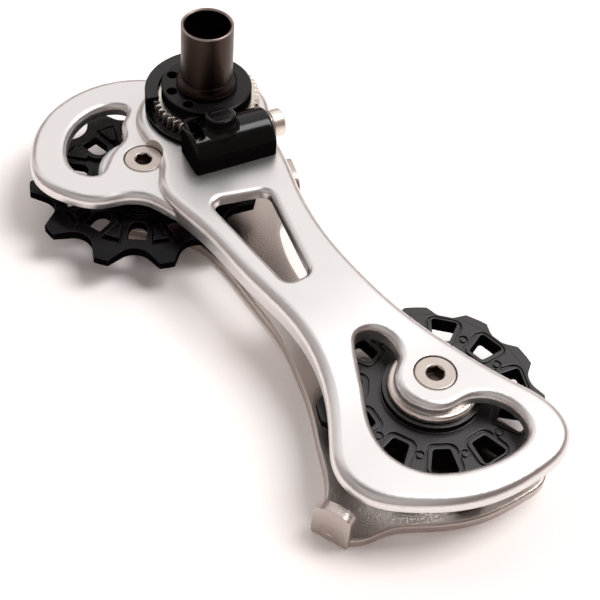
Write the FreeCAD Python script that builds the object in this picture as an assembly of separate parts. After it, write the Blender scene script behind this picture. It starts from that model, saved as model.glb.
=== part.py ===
"""Cage of a bicycle rear derailleur, with a worm-adjusted seat for its return spring.

Origin: on the pivot axis, at the top face of the outer plate.  +Z runs along the pivot
tube, and +X from the guide pulley towards the tension pulley.  Sizes are in millimetres.
"""
import FreeCAD, Part
import math
import os

V = FreeCAD.Vector

# Layout of the cage
PULLEY_SPACING = 75.0
GUIDE_X = 0.9
GUIDE_Y = -18.2
PLATE_GAP = 9.0
OUTLINE_UNIT = 1.0
ARM_THICKNESS = 4.6
RIM_THICKNESS = 2.6
INNER_THICKNESS = 2.0

# Outer plate
BOSS_R = 13.0
STEP_R = 14.1
STEP_X = 1.5
STEP_Y = -1.5
HOOP_R = 21.8
HOOP_SHIFT_X = -2.6
HOOP_SHIFT_Y = 1.8
LOWER_RIM_R = 31.75
LOWER_RIM_SHIFT_X = -5.7
LOWER_RIM_SHIFT_Y = 0.6
SLOPE_START = 0.6
SLOPE_EASE = 15.0
SLOPE_RUN_OUT = 2.0
ARM_EDGE_R = 1.9
HOOP_EDGE_R = 1.5
WINDOW_EDGE_R = 1.3
WINDOW_CORNER_R = 2.0

# Inner plate
INNER_BOSS_R = 8.5
INNER_RIM_R = 31.9
INNER_RIM_SHIFT_X = -7.9
INNER_RIM_SHIFT_Y = 3.1
INNER_EDGE_R = 0.5
EAR_HEIGHT = 8.6
EAR_THICKNESS = 2.0
LOWER_EAR_WIDTH = 7.2
GUIDE_EAR_WIDTH = 8.0
EAR_CORNER_R = 3.6
EAR_BEND_R = 1.2
LOWER_EAR_TURN = 11.5
GUIDE_EAR_TURN = 151.5

# Pulleys
PULLEY_TEETH = 11
CHAIN_PITCH = 12.7
ROLLER_SEAT_R = 3.9
TOOTH_THICKNESS = 2.0
TOOTH_BEVEL = 0.3
TOOTH_BEVEL_LENGTH = 2.4
GUIDE_TIP_R = 22.65
GUIDE_TIP_WIDTH = 2.9
GUIDE_PHASE = -31.5
GUIDE_HUB_R = 8.6
GUIDE_HUB_LENGTH = 7.2
GUIDE_POCKET_DEPTH = 0.65
GUIDE_POCKET_OUTER_R = 17.8
GUIDE_POCKET_INNER_R = 9.6
GUIDE_WINDOW_OUTER_R = 16.3
GUIDE_WINDOW_ARCH_R = 1.85
GUIDE_WINDOW_LENGTH = 4.9
GUIDE_FRAME_WIDTH = 1.1
GUIDE_PAD_INNER_R = 13.2
GUIDE_PAD_OUTER_R = 16.9
GUIDE_PAD_INNER_WIDTH = 0.9
GUIDE_PAD_OUTER_WIDTH = 3.0
GUIDE_PAD_RISE = 0.5
TENSION_TIP_R = 20.65
TENSION_TIP_WIDTH = 4.3
TENSION_PHASE = 105.0
TENSION_HUB_R = 9.0
TENSION_HUB_LENGTH = 6.0
TENSION_WEB_THICKNESS = 3.2
TENSION_WEB_R = 18.3
TENSION_WINDOW_INNER_R = 12.4
TENSION_WINDOW_OUTER_R = 17.3
TENSION_WINDOW_INNER_WIDTH = 3.1
TENSION_WINDOW_OUTER_WIDTH = 5.1
TENSION_WINDOW_CORNER_R = 0.6
TENSION_FRAME_WIDTH = 0.7
TENSION_GROOVE_WIDTH = 0.5
TENSION_GROOVE_DEPTH = 0.45
PIP_CIRCLE_R = 14.1
PIP_R = 0.55
PIP_GROOVE_R = 0.95

# Pulley bolts
BOLT_SHANK_R = 2.45
BOLT_HEAD_R = 3.8
BOLT_HEAD_HEIGHT = 1.5
BOLT_HEAD_EDGE = 0.25
BOLT_THREAD_R = 2.0
BOLT_SOCKET_WIDTH = 3.0
BOLT_SOCKET_DEPTH = 1.9
BOLT_SOCKET_LEAD = 0.3
BOLT_END_INSET = 0.2

# Guide pulley bush and side caps
BUSH_R = 4.0
GUIDE_CAP_R = 8.2
GUIDE_CAP_THICKNESS = 0.6

# Tension pulley bearing and dust caps
BEARING_R = 7.0
BEARING_WIDTH = 5.0
BALL_COUNT = 7
BALL_R = 1.2
BALL_CIRCLE_R = 4.75
RING_WALL = 1.55
RETAINER_THICKNESS = 0.6
RETAINER_WIDTH = 3.2
SHIELD_THICKNESS = 0.35
SHIELD_STEP = 0.5
DUST_CAP_R = 8.2
DUST_CAP_THICKNESS = 1.2
DUST_CAP_EDGE_R = 0.8

# Pivot tube
TUBE_R = 5.15
TUBE_BORE_R = 4.5
TUBE_HEIGHT = 21.0
TUBE_MOUTH = 0.3
TUBE_FLANGE_R = 6.9
TUBE_FLANGE_THICKNESS = 1.2
SNAP_RING_R = 6.1
SNAP_RING_THICKNESS = 0.8
SNAP_GROOVE_DEPTH = 0.35

# Spring seat
SEAT_R = 9.05
SEAT_THICKNESS = 2.6
SEAT_HUB_R = 7.0
SEAT_EDGE_R = 0.4
SEAT_KEY_COUNT = 3
SEAT_KEY_WIDTH = 2.0
SEAT_KEY_HEIGHT = 0.8
LEG_HOLE_R = 1.1
LEG_HOLE_CIRCLE_R = 7.3
LEG_HOLE_COUNT = 3
LEG_HOLE_FIRST = -154.0
LEG_HOLE_STEP = 40.0

# Worm and wheel
WHEEL_TEETH = 45
MODULE = 0.46
PRESSURE_ANGLE = 20.0
ROOT_RELIEF = 0.115
BACKLASH = 0.16
WHEEL_THICKNESS = 2.5
WORM_PITCH_R = 2.2
WORM_TURN = -21.2
WORM_TURNS = 7
WORM_NECK_R = 2.75
WORM_NECK_LENGTH = 2.5
WORM_NECK_STAND = 0.3
WORM_RUN_OUT = 0.55
WORM_DROP = 0.55
WORM_HEAD_R = 2.75
WORM_HEAD_LENGTH = 3.0
WORM_HEAD_EDGE = 0.4
WORM_SOCKET_WIDTH = 2.5
WORM_SOCKET_DEPTH = 1.6
WORM_JOURNAL_R = 1.5
WORM_JOURNAL_LENGTH = 4.0
CLIP_R = 2.3
CLIP_THICKNESS = 0.6
CLIP_MOUTH = 1.8
CLIP_PLACE = 0.65
CLIP_GROOVE_DEPTH = 0.4

# Worm housing
CUP_R = 12.36
CUP_WALL = 1.2
CUP_FLOOR = 0.8
CUP_LIP_R = 9.75
CUP_LIP = 0.7
CUP_FLOOR_R = 10.2
CUP_WALL_START = 112.0
CUP_WALL_SWEEP = 128.0
CUP_RAIL_SWEEP = 190.0
BARREL_R = 5.1
BARREL_AXIS_Z = 1.9
BARREL_SHIFT = 0.4
BARREL_LEFT = 9.7
BARREL_EDGE_R = 0.9
BARREL_CORNER_R = 3.0
POST_R = 2.9
POST_TOP = 9.8
POST_SHIFT = -2.8
POST_EDGE_R = 0.5
COLLAR_R = 3.9
COLLAR_TOP = 8.3
CLIP_SLOT_WIDTH = 2.4
CLIP_SLOT_LENGTH = 5.4
CLIP_SLOT_CORNER_R = 1.0
PEG_R = 1.2
PEG_DEPTH = 2.5
PEG_SHIFT_X = 2.65
PEG_SPREAD = 5.5

# Clearances
RUNNING = 0.06
BALL_PLAY = 0.05
SLIP = 0.05
SIDE_PLAY = 0.3
END_PLAY = 0.1
HEAD_PLAY = 0.12
WHEEL_ROOM = 0.3

# Places that follow from the sizes
TENSION_X = GUIDE_X + PULLEY_SPACING
TENSION_Y = GUIDE_Y
RIM_TOP = RIM_THICKNESS - ARM_THICKNESS
OUTER_BOTTOM = -ARM_THICKNESS
INNER_TOP = OUTER_BOTTOM - PLATE_GAP
INNER_BOTTOM = INNER_TOP - INNER_THICKNESS
MID_Z = OUTER_BOTTOM - PLATE_GAP / 2
PITCH_R = CHAIN_PITCH / 2 / math.sin(math.pi / PULLEY_TEETH)
WHEEL_PITCH_R = MODULE * WHEEL_TEETH / 2
WHEEL_TIP_R = WHEEL_PITCH_R + MODULE
WHEEL_BOTTOM = CUP_FLOOR + SIDE_PLAY
WHEEL_TOP = WHEEL_BOTTOM + WHEEL_THICKNESS
SEAT_TOP = WHEEL_TOP + SEAT_THICKNESS
WORM_PITCH = math.pi * MODULE
WORM_TIP_R = WORM_PITCH_R + MODULE
WORM_ROOT_R = WORM_PITCH_R - MODULE - ROOT_RELIEF
WORM_X = WHEEL_PITCH_R + WORM_PITCH_R
WORM_Z = WHEEL_TOP - WORM_DROP
BARREL_X = WORM_X + BARREL_SHIFT
CUP_HEIGHT = WHEEL_TOP + SIDE_PLAY + CUP_LIP
WORM_HALF = WORM_TURNS * WORM_PITCH / 2
BARREL_RIGHT = WORM_HALF + WORM_NECK_LENGTH
CLIP_Y = -WORM_HALF - WORM_JOURNAL_LENGTH * CLIP_PLACE
ROOM_R = WHEEL_TIP_R + WHEEL_ROOM
ABOVE = 50.0


def polar(x, y, radius, degrees):
    """Point on a circle about (x, y)."""
    angle = math.radians(degrees)
    return (x + radius * math.cos(angle), y + radius * math.sin(angle))


def guide_point(x, y):
    """Point given from the guide pulley's axis."""
    return (GUIDE_X + x * OUTLINE_UNIT, GUIDE_Y + y * OUTLINE_UNIT)


def tension_point(x, y):
    """Point given from the tension pulley's axis."""
    return (TENSION_X + x * OUTLINE_UNIT, TENSION_Y + y * OUTLINE_UNIT)


def arm_point(share, y):
    """Point beside the line of pulley axes, at a share of their spacing."""
    return (GUIDE_X + share * PULLEY_SPACING, GUIDE_Y + y * OUTLINE_UNIT)


def smooth_outline(points, pieces=8):
    """Closed smooth curve through the points, as a wire of a few edges."""
    curve = Part.BSplineCurve()
    curve.interpolate(Points=[V(x, y, 0) for x, y in points], PeriodicFlag=True)
    first = curve.FirstParameter
    last = curve.LastParameter
    marks = [first + (last - first) * i / pieces for i in range(pieces + 1)]
    return Part.Wire([curve.toShape(a, b) for a, b in zip(marks, marks[1:])])


def rounded_outline(corners):
    """Closed polygon whose corners (x, y, radius) are rounded by tangent arcs."""
    legs = []
    for i, (x, y, radius) in enumerate(corners):
        corner = V(x, y, 0)
        before = V(corners[i - 1][0], corners[i - 1][1], 0) - corner
        after = V(*corners[(i + 1) % len(corners)][:2], 0) - corner
        before.normalize()
        after.normalize()
        half = before.getAngle(after) / 2
        inward = before + after
        inward.normalize()
        reach = radius / math.tan(half)
        bulge = radius / math.sin(half) - radius
        legs.append((corner + before * reach, corner + inward * bulge, corner + after * reach))
    edges = []
    for i, (start, middle, end) in enumerate(legs):
        edges.append(Part.Arc(start, middle, end).toShape())
        edges.append(Part.LineSegment(end, legs[(i + 1) % len(legs)][0]).toShape())
    return Part.Wire(edges)


def prism(wire, low, high):
    """Upright solid over a flat outline."""
    face = Part.Face(wire)
    face.translate(V(0, 0, low))
    return face.extrude(V(0, 0, high - low))


def rod(radius, low, high, x=0.0, y=0.0):
    """Upright round bar."""
    return Part.makeCylinder(radius, high - low, V(x, y, low))


def ring(outer, inner, low, high, x=0.0, y=0.0):
    """Upright ring."""
    return rod(outer, low, high, x, y).cut(rod(inner, low, high, x, y))


def turned(profile, x=0.0, y=0.0):
    """Solid of revolution from (radius, height) corners about an upright axis."""
    points = [V(radius, 0, height) for radius, height in profile]
    face = Part.Face(Part.makePolygon(points + points[:1]))
    solid = face.revolve(V(0, 0, 0), V(0, 0, 1), 360)
    solid.translate(V(x, y, 0))
    return solid


def lengthwise(solid):
    """Lay an upright solid along +Y, with its foot at y = 0."""
    solid.rotate(V(0, 0, 0), V(1, 0, 0), -90)
    return solid


def hexagon(width, low, high, x=0.0, y=0.0):
    """Upright hexagonal bar of a given width across flats."""
    reach = width / 2 / math.cos(math.pi / 6)
    points = [V(*polar(x, y, reach, 60 * i), 0) for i in range(7)]
    return prism(Part.makePolygon(points), low, high)


def round_edges(solid, radius, chosen):
    """Fillet the edges that a test on their box and curve picks."""
    return solid.makeFillet(radius, [edge for edge in solid.Edges if chosen(edge)])


def within(edge, wire, low):
    """True for an edge inside a wire's plan box, wholly above a height."""
    box = edge.BoundBox
    frame = wire.BoundBox
    frame.enlarge(0.05)
    inside_x = frame.XMin < box.XMin and box.XMax < frame.XMax
    inside_y = frame.YMin < box.YMin and box.YMax < frame.YMax
    return inside_x and inside_y and box.ZMin > low


def fuse_all(solids):
    """One solid from pieces that meet."""
    return solids[0].fuse(solids[1:])


def round_copies(solid, count, x, y):
    """Copies of a solid spaced evenly about an upright axis."""
    copies = []
    for i in range(count):
        copy = solid.copy()
        copy.rotate(V(x, y, 0), V(0, 0, 1), 360.0 * i / count)
        copies.append(copy)
    return copies


def arm_outline():
    """Plan of the raised arm: pivot boss, step round the guide bolt, arm and lower rim."""
    boss = [polar(0, 0, BOSS_R, angle) for angle in (40, 75, 110, 145)]
    step = [polar(STEP_X, STEP_Y, STEP_R, angle) for angle in (175, 205, 235, 262)]
    neck = [guide_point(4.9, -0.3), guide_point(7.6, -3.0), guide_point(14.4, -5.4)]
    left = [arm_point(0.30, -5.9), arm_point(0.47, -8.1), arm_point(0.655, -10.1)]
    limb = [tension_point(-16.8, -13.2), tension_point(-9.0, -18.3), tension_point(-3.8, -23.3),
            tension_point(-0.2, -26.5), tension_point(4.1, -28.1)]
    rim_x, rim_y = tension_point(LOWER_RIM_SHIFT_X, LOWER_RIM_SHIFT_Y)
    rim = [polar(rim_x, rim_y, LOWER_RIM_R, angle) for angle in (-63, -48, -33, -18, -6)]
    corner = [tension_point(26.0, 3.4), tension_point(23.7, 7.9), tension_point(19.0, 10.1),
              tension_point(9.4, 9.2), tension_point(-2.9, 7.8)]
    right = [arm_point(0.80, 7.0), arm_point(0.655, 8.1), arm_point(0.49, 11.5),
             arm_point(0.368, 15.7), arm_point(0.238, 21.1)]
    return smooth_outline(boss + step + neck + left + limb + rim + corner + right)


def hoop_outline():
    """Plan of the thin hoop round the guide pulley, run in under the arm."""
    hoop_x, hoop_y = guide_point(HOOP_SHIFT_X, HOOP_SHIFT_Y)
    hoop = [polar(hoop_x, hoop_y, HOOP_R, angle) for angle in (110, 132, 156, 180, 204, 228, 248)]
    tip = [guide_point(-2.1, -17.2), guide_point(2.9, -13.6), guide_point(5.0, -9.8),
           guide_point(8.6, -6.7), guide_point(16.0, -4.9)]
    return smooth_outline(hoop + tip + [guide_point(14.0, 4.0), guide_point(3.1, 21.2)])


def hoop_window():
    """Crescent opening between the hoop and the guide bolt's boss."""
    return smooth_outline([
        guide_point(-14.3, 7.6), guide_point(-16.9, 4.7), guide_point(-17.5, 0.1),
        guide_point(-15.4, -5.8), guide_point(-11.0, -10.2), guide_point(-6.4, -11.3),
        guide_point(-3.1, -9.0), guide_point(-4.5, -5.8), guide_point(-6.3, -2.1),
        guide_point(-7.7, 1.7), guide_point(-11.0, 4.3)], 4)


def arm_window():
    """Rounded triangular opening in the arm."""
    corners = [arm_point(0.325, 10.4), arm_point(0.245, -0.2),
               arm_point(0.579, -4.7), arm_point(0.593, 0.4)]
    return rounded_outline([(x, y, WINDOW_CORNER_R) for x, y in corners])


def lower_window():
    """Bean-shaped opening round the tongue that holds the tension bolt."""
    return smooth_outline([
        tension_point(-15.3, -2.5), tension_point(-13.5, -0.2), tension_point(-9.4, 0.0),
        tension_point(-6.9, -1.8), tension_point(-5.4, -4.7), tension_point(-1.8, -7.3),
        tension_point(2.9, -6.9), tension_point(6.2, -3.9), tension_point(7.4, 0.4),
        tension_point(10.2, 3.4), tension_point(15.0, 4.2), tension_point(19.1, 1.9),
        tension_point(19.7, -3.1), tension_point(17.2, -10.5), tension_point(12.4, -16.5),
        tension_point(5.6, -18.5), tension_point(-0.9, -16.2), tension_point(-7.1, -11.2),
        tension_point(-13.4, -6.1)])


def slope_cutter():
    """Everything above the arm's top where it falls from the boss to the lower rim."""
    start = GUIDE_X + SLOPE_START * PULLEY_SPACING
    end = TENSION_X + SLOPE_RUN_OUT
    side = GUIDE_Y - ABOVE * 2
    fall = Part.BezierCurve()
    fall.setPoles([V(start, side, 0), V(start + SLOPE_EASE, side, 0),
                   V(end - SLOPE_EASE, side, RIM_TOP), V(end, side, RIM_TOP)])
    corners = [V(end, side, RIM_TOP), V(end + ABOVE, side, RIM_TOP), V(end + ABOVE, side, ABOVE),
               V(start, side, ABOVE), V(start, side, 0)]
    edges = [Part.LineSegment(a, b).toShape() for a, b in zip(corners, corners[1:])]
    return Part.Face(Part.Wire([fall.toShape()] + edges)).extrude(V(0, ABOVE * 4, 0))


def bolt_hole(x, y):
    """Shank hole and head counterbore of a pulley bolt, open to the top."""
    seat = RIM_TOP - BOLT_HEAD_HEIGHT
    shank = rod(BOLT_SHANK_R + HEAD_PLAY, OUTER_BOTTOM - 1, RIM_TOP, x, y)
    return shank.fuse(rod(BOLT_HEAD_R + HEAD_PLAY, seat, ABOVE, x, y))


def make_outer_plate():
    """Forged outer plate: thick arm, thin hoop, three windows and the bolt seats."""
    low = OUTER_BOTTOM + 0.1
    arm = prism(arm_outline(), OUTER_BOTTOM, 0).cut(slope_cutter())
    arm = round_edges(arm, ARM_EDGE_R, lambda edge: edge.BoundBox.ZMin > low
                      and not isinstance(edge.Curve, Part.Line))
    hoop = prism(hoop_outline(), OUTER_BOTTOM, RIM_TOP)
    hoop = round_edges(hoop, HOOP_EDGE_R, lambda edge: edge.BoundBox.ZMin > low)
    plate = arm.fuse(hoop)
    for wire in (hoop_window(), arm_window(), lower_window()):
        plate = plate.cut(prism(wire, OUTER_BOTTOM - 1, 1))
        plate = round_edges(plate, WINDOW_EDGE_R, lambda edge: within(edge, wire, low))
    holes = [bolt_hole(GUIDE_X, GUIDE_Y), bolt_hole(TENSION_X, TENSION_Y),
             rod(TUBE_R + SLIP, OUTER_BOTTOM - 1, 1),
             rod(TUBE_FLANGE_R + SLIP, OUTER_BOTTOM - 1, OUTER_BOTTOM + TUBE_FLANGE_THICKNESS)]
    holes += [rod(PEG_R + SLIP, -PEG_DEPTH - SIDE_PLAY, 1, x, y) for x, y in peg_places()]
    return plate.cut(holes)


def inner_outline():
    """Plan of the inner plate: guide boss, chain ear, arm, lower rim and tip."""
    boss = [polar(GUIDE_X, GUIDE_Y, INNER_BOSS_R, angle) for angle in (95, 140, 185, 230, 275, 310)]
    left = [arm_point(0.18, -1.6), arm_point(0.31, -1.0), arm_point(0.44, -3.4),
            arm_point(0.59, -6.6), arm_point(0.72, -11.4)]
    limb = [tension_point(-15.7, -14.6), tension_point(-9.0, -19.6), tension_point(-3.0, -24.1),
            tension_point(-0.4, -27.6), tension_point(1.2, -31.2), tension_point(7.6, -30.4),
            tension_point(9.6, -28.2), tension_point(11.4, -23.6)]
    rim_x, rim_y = tension_point(INNER_RIM_SHIFT_X, INNER_RIM_SHIFT_Y)
    rim = [polar(rim_x, rim_y, INNER_RIM_R, angle) for angle in (-45, -33, -21, -9, 1)]
    corner = [tension_point(20.6, 7.6), tension_point(12.0, 8.8), tension_point(-1.0, 7.4)]
    right = [arm_point(0.79, 4.6), arm_point(0.63, 4.8), arm_point(0.467, 7.9),
             arm_point(0.36, 12.2), guide_point(23.2, 16.8), guide_point(22.7, 21.2)]
    foot = [guide_point(19.0, 23.9), guide_point(15.4, 25.4), guide_point(12.4, 22.4),
            guide_point(9.0, 13.0)]
    return smooth_outline(boss + left + limb + rim + corner + right + foot)


def ear(x, y, turn, width):
    """Upturned chain-guard ear with its bend; it stands inward of a line from (x, y)."""
    top = INNER_BOTTOM + EAR_HEIGHT
    corners = [(0, INNER_BOTTOM, INNER_EDGE_R), (width, INNER_BOTTOM, INNER_EDGE_R),
               (width, top, EAR_CORNER_R / 2), (0, top, EAR_CORNER_R)]
    wall = Part.Face(rounded_outline(corners)).extrude(V(0, 0, -EAR_THICKNESS))
    wall.rotate(V(0, 0, 0), V(1, 0, 0), 90)
    foot = V(0, EAR_THICKNESS, INNER_TOP)
    across = V(0, EAR_BEND_R, 0)
    up = V(0, 0, EAR_BEND_R)
    hollow = across + up - (across + up).multiply(math.sqrt(0.5))
    cove = Part.Wire([Part.LineSegment(foot, foot + across).toShape(),
                      Part.Arc(foot + across, foot + hollow, foot + up).toShape(),
                      Part.LineSegment(foot + up, foot).toShape()])
    bend = Part.Face(cove).extrude(V(width, 0, 0))
    solid = wall.fuse(bend)
    solid.rotate(V(0, 0, 0), V(0, 0, 1), turn)
    solid.translate(V(x, y, 0))
    return solid


def make_inner_plate():
    """Inner plate with two upturned ears and the threaded bolt holes."""
    plate = prism(inner_outline(), INNER_BOTTOM, INNER_TOP)
    plate = round_edges(plate, INNER_EDGE_R, lambda edge: edge.BoundBox.ZMin > INNER_TOP - 0.1)
    plate = plate.fuse([ear(*tension_point(1.2, -32.3), LOWER_EAR_TURN, LOWER_EAR_WIDTH),
                        ear(*guide_point(22.5, 22.1), GUIDE_EAR_TURN, GUIDE_EAR_WIDTH)])
    holes = [rod(BOLT_THREAD_R + SLIP, INNER_BOTTOM - 1, INNER_TOP + 1, x, y)
             for x, y in ((GUIDE_X, GUIDE_Y), (TENSION_X, TENSION_Y))]
    return plate.cut(holes)


def toothed_outline(tip_radius, tip_width, phase):
    """Plan of a chain pulley: round roller seats, straight flanks and arc tips."""
    pitch_angle = 2 * math.pi / PULLEY_TEETH
    corner_angle = pitch_angle / 2 - tip_width / 2 / tip_radius
    corner_side = tip_radius * math.sin(corner_angle)
    corner_out = tip_radius * math.cos(corner_angle) - PITCH_R
    lean = math.atan2(corner_out, corner_side)
    touch = lean - math.acos(ROLLER_SEAT_R / math.hypot(corner_out, corner_side))
    touch_side = ROLLER_SEAT_R * math.cos(touch)
    touch_out = ROLLER_SEAT_R * math.sin(touch)

    def place(angle, side, out):
        radial = V(math.cos(angle), math.sin(angle), 0)
        along = V(-math.sin(angle), math.cos(angle), 0)
        return radial * (PITCH_R + out) + along * side

    edges = []
    for i in range(PULLEY_TEETH):
        angle = math.radians(phase) + (i + 0.5) * pitch_angle
        tooth = angle + pitch_angle / 2
        enter = place(angle, -corner_side, corner_out)
        seat_in = place(angle, -touch_side, touch_out)
        seat_low = place(angle, 0, -ROLLER_SEAT_R)
        seat_out = place(angle, touch_side, touch_out)
        leave = place(angle, corner_side, corner_out)
        crown = V(tip_radius * math.cos(tooth), tip_radius * math.sin(tooth), 0)
        following = place(angle + pitch_angle, -corner_side, corner_out)
        edges += [Part.LineSegment(enter, seat_in).toShape(),
                  Part.Arc(seat_in, seat_low, seat_out).toShape(),
                  Part.LineSegment(seat_out, leave).toShape(),
                  Part.Arc(leave, crown, following).toShape()]
    return Part.Wire(edges)


def toothed_blank(tip_radius, tip_width, phase):
    """Toothed disc about the origin, with its teeth bevelled on both sides."""
    half = TOOTH_THICKNESS / 2
    disc = prism(toothed_outline(tip_radius, tip_width, phase), -half, half)
    shoulder = tip_radius - TOOTH_BEVEL_LENGTH
    lens = turned([(0, -half), (shoulder, -half), (tip_radius + 1, -half + TOOTH_BEVEL),
                   (tip_radius + 1, half - TOOTH_BEVEL), (shoulder, half), (0, half)])
    return disc.common(lens)


def arch(half, outer, low, high):
    """Arched bar under a tooth gap: straight outer end, round inner end."""
    centre = GUIDE_WINDOW_OUTER_R - GUIDE_WINDOW_LENGTH + GUIDE_WINDOW_ARCH_R
    curve = Part.Arc(V(centre, half, 0), V(centre - half, 0, 0), V(centre, -half, 0))
    corners = [V(centre, -half, 0), V(outer, -half, 0), V(outer, half, 0), V(centre, half, 0)]
    edges = [Part.LineSegment(a, b).toShape() for a, b in zip(corners, corners[1:])]
    return prism(Part.Wire([curve.toShape()] + edges), low, high)


def pad(low, high):
    """Tapered pad under a tooth."""
    near = GUIDE_PAD_INNER_WIDTH / 2
    far = GUIDE_PAD_OUTER_WIDTH / 2
    corners = [V(GUIDE_PAD_INNER_R, -near, 0), V(GUIDE_PAD_OUTER_R, -far, 0),
               V(GUIDE_PAD_OUTER_R, far, 0), V(GUIDE_PAD_INNER_R, near, 0)]
    solid = prism(Part.makePolygon(corners + corners[:1]), low, high)
    solid.rotate(V(0, 0, 0), V(0, 0, 1), GUIDE_PHASE)
    return solid


def at_gaps(solid, phase):
    """Copies of a solid drawn on +X, one under each gap between teeth."""
    solid.rotate(V(0, 0, 0), V(0, 0, 1), phase + 180.0 / PULLEY_TEETH)
    return round_copies(solid, PULLEY_TEETH, 0, 0)


def make_guide_pulley():
    """Guide pulley: arched frames round its windows, pads between them, pocketed web."""
    half = TOOTH_THICKNESS / 2
    floor = half - GUIDE_POCKET_DEPTH
    peak = half + GUIDE_PAD_RISE
    reach = GUIDE_HUB_LENGTH / 2
    frame_half = GUIDE_WINDOW_ARCH_R + GUIDE_FRAME_WIDTH
    frames = at_gaps(arch(frame_half, GUIDE_POCKET_OUTER_R, -half, half), GUIDE_PHASE)
    windows = at_gaps(arch(GUIDE_WINDOW_ARCH_R, GUIDE_WINDOW_OUTER_R, -half, half), GUIDE_PHASE)
    pockets = []
    for low, high in ((floor, half), (-half, -floor)):
        pocket = ring(GUIDE_POCKET_OUTER_R, GUIDE_POCKET_INNER_R, low, high)
        pockets.append(pocket.cut(frames))
    pads = round_copies(pad(-peak, peak), PULLEY_TEETH, 0, 0)
    pulley = toothed_blank(GUIDE_TIP_R, GUIDE_TIP_WIDTH, GUIDE_PHASE).cut(pockets + windows)
    pulley = pulley.fuse(pads + [rod(GUIDE_HUB_R, -reach, reach)])
    pulley = pulley.cut(rod(BUSH_R + RUNNING, -reach, reach))
    pulley.translate(V(GUIDE_X, GUIDE_Y, MID_Z))
    return pulley


def tension_window(margin, low, high):
    """Trapezoid bar under a tooth gap, grown by a margin."""
    corner = TENSION_WINDOW_CORNER_R + margin
    near = TENSION_WINDOW_INNER_WIDTH / 2 + margin
    far = TENSION_WINDOW_OUTER_WIDTH / 2 + margin
    inner = TENSION_WINDOW_INNER_R - margin
    outer = TENSION_WINDOW_OUTER_R + margin / 2
    return prism(rounded_outline([(inner, -near, corner), (outer, -far, corner),
                                  (outer, far, corner), (inner, near, corner)]), low, high)


def make_tension_pulley():
    """Tension pulley: grooved window frames, moulded pips and a bearing seat."""
    half = TENSION_WEB_THICKNESS / 2
    reach = TENSION_HUB_LENGTH / 2
    blank = toothed_blank(TENSION_TIP_R, TENSION_TIP_WIDTH, TENSION_PHASE)
    web = rod(TENSION_WEB_R, -half, half)
    hub = rod(TENSION_HUB_R, -reach, reach)
    windows = at_gaps(tension_window(0, -half - 1, half + 1), TENSION_PHASE)
    grooves = []
    for low, high in ((half - TENSION_GROOVE_DEPTH, half), (-half, TENSION_GROOVE_DEPTH - half)):
        groove = tension_window(TENSION_FRAME_WIDTH + TENSION_GROOVE_WIDTH, low, high)
        groove = groove.cut(tension_window(TENSION_FRAME_WIDTH, low, high))
        grooves += at_gaps(groove, TENSION_PHASE)
    pip = ring(PIP_GROOVE_R, PIP_R, half - TENSION_GROOVE_DEPTH, half, PIP_CIRCLE_R)
    pip.rotate(V(0, 0, 0), V(0, 0, 1), TENSION_PHASE)
    pips = round_copies(pip, PULLEY_TEETH, 0, 0)
    seat = rod(BEARING_R, -BEARING_WIDTH / 2, BEARING_WIDTH / 2)
    mouth = rod(BEARING_R - SHIELD_STEP, -reach, reach)
    pulley = blank.fuse([web, hub]).cut(windows + grooves + pips + [seat, mouth])
    pulley.translate(V(TENSION_X, TENSION_Y, MID_Z))
    return pulley


def make_bolt(x, y):
    """Pulley bolt: flush socket head, plain shank and threaded end in the inner plate."""
    seat = RIM_TOP - BOLT_HEAD_HEIGHT
    end = INNER_BOTTOM + BOLT_END_INSET
    bolt = turned([(0, end), (BOLT_THREAD_R, end), (BOLT_THREAD_R, INNER_TOP),
                   (BOLT_SHANK_R, INNER_TOP), (BOLT_SHANK_R, seat), (BOLT_HEAD_R, seat),
                   (BOLT_HEAD_R, RIM_TOP - BOLT_HEAD_EDGE), (BOLT_HEAD_R - BOLT_HEAD_EDGE, RIM_TOP),
                   (0, RIM_TOP)], x, y)
    lead = BOLT_SOCKET_WIDTH / 2 + BOLT_SOCKET_LEAD
    mouth = turned([(0, RIM_TOP - BOLT_SOCKET_LEAD * 2), (lead - BOLT_SOCKET_LEAD * 2,
                    RIM_TOP - BOLT_SOCKET_LEAD * 2), (lead, RIM_TOP), (0, RIM_TOP)], x, y)
    socket = hexagon(BOLT_SOCKET_WIDTH, RIM_TOP - BOLT_SOCKET_DEPTH, RIM_TOP, x, y)
    return bolt.cut([socket, mouth])


def make_guide_bush():
    """Plain bush that the guide pulley runs on, clamped between the plates."""
    return ring(BUSH_R, BOLT_SHANK_R + SLIP, INNER_TOP, OUTER_BOTTOM, GUIDE_X, GUIDE_Y)


def make_guide_cap(side):
    """Dished side cap of the guide pulley, against one plate."""
    plate = MID_Z + side * PLATE_GAP / 2
    inner = BUSH_R + SLIP
    face = plate - side * GUIDE_CAP_THICKNESS
    lip = face - side * GUIDE_CAP_THICKNESS
    return turned([(inner, plate), (GUIDE_CAP_R, plate), (GUIDE_CAP_R + GUIDE_CAP_THICKNESS, face),
                   (GUIDE_CAP_R + GUIDE_CAP_THICKNESS, lip), (GUIDE_HUB_R + SIDE_PLAY, lip),
                   (GUIDE_HUB_R + SIDE_PLAY, face), (inner, face)], GUIDE_X, GUIDE_Y)


def race_groove():
    """Ring that cuts the ball track into both bearing rings."""
    return Part.makeTorus(BALL_CIRCLE_R, BALL_R + BALL_PLAY, V(TENSION_X, TENSION_Y, MID_Z))


def make_bearing_inner_ring():
    """Inner ring of the tension bearing, clamped on the bolt."""
    half = BEARING_WIDTH / 2
    body = ring(BOLT_SHANK_R + SLIP + RING_WALL, BOLT_SHANK_R + SLIP, MID_Z - half, MID_Z + half,
                TENSION_X, TENSION_Y)
    return body.cut(race_groove())


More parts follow.
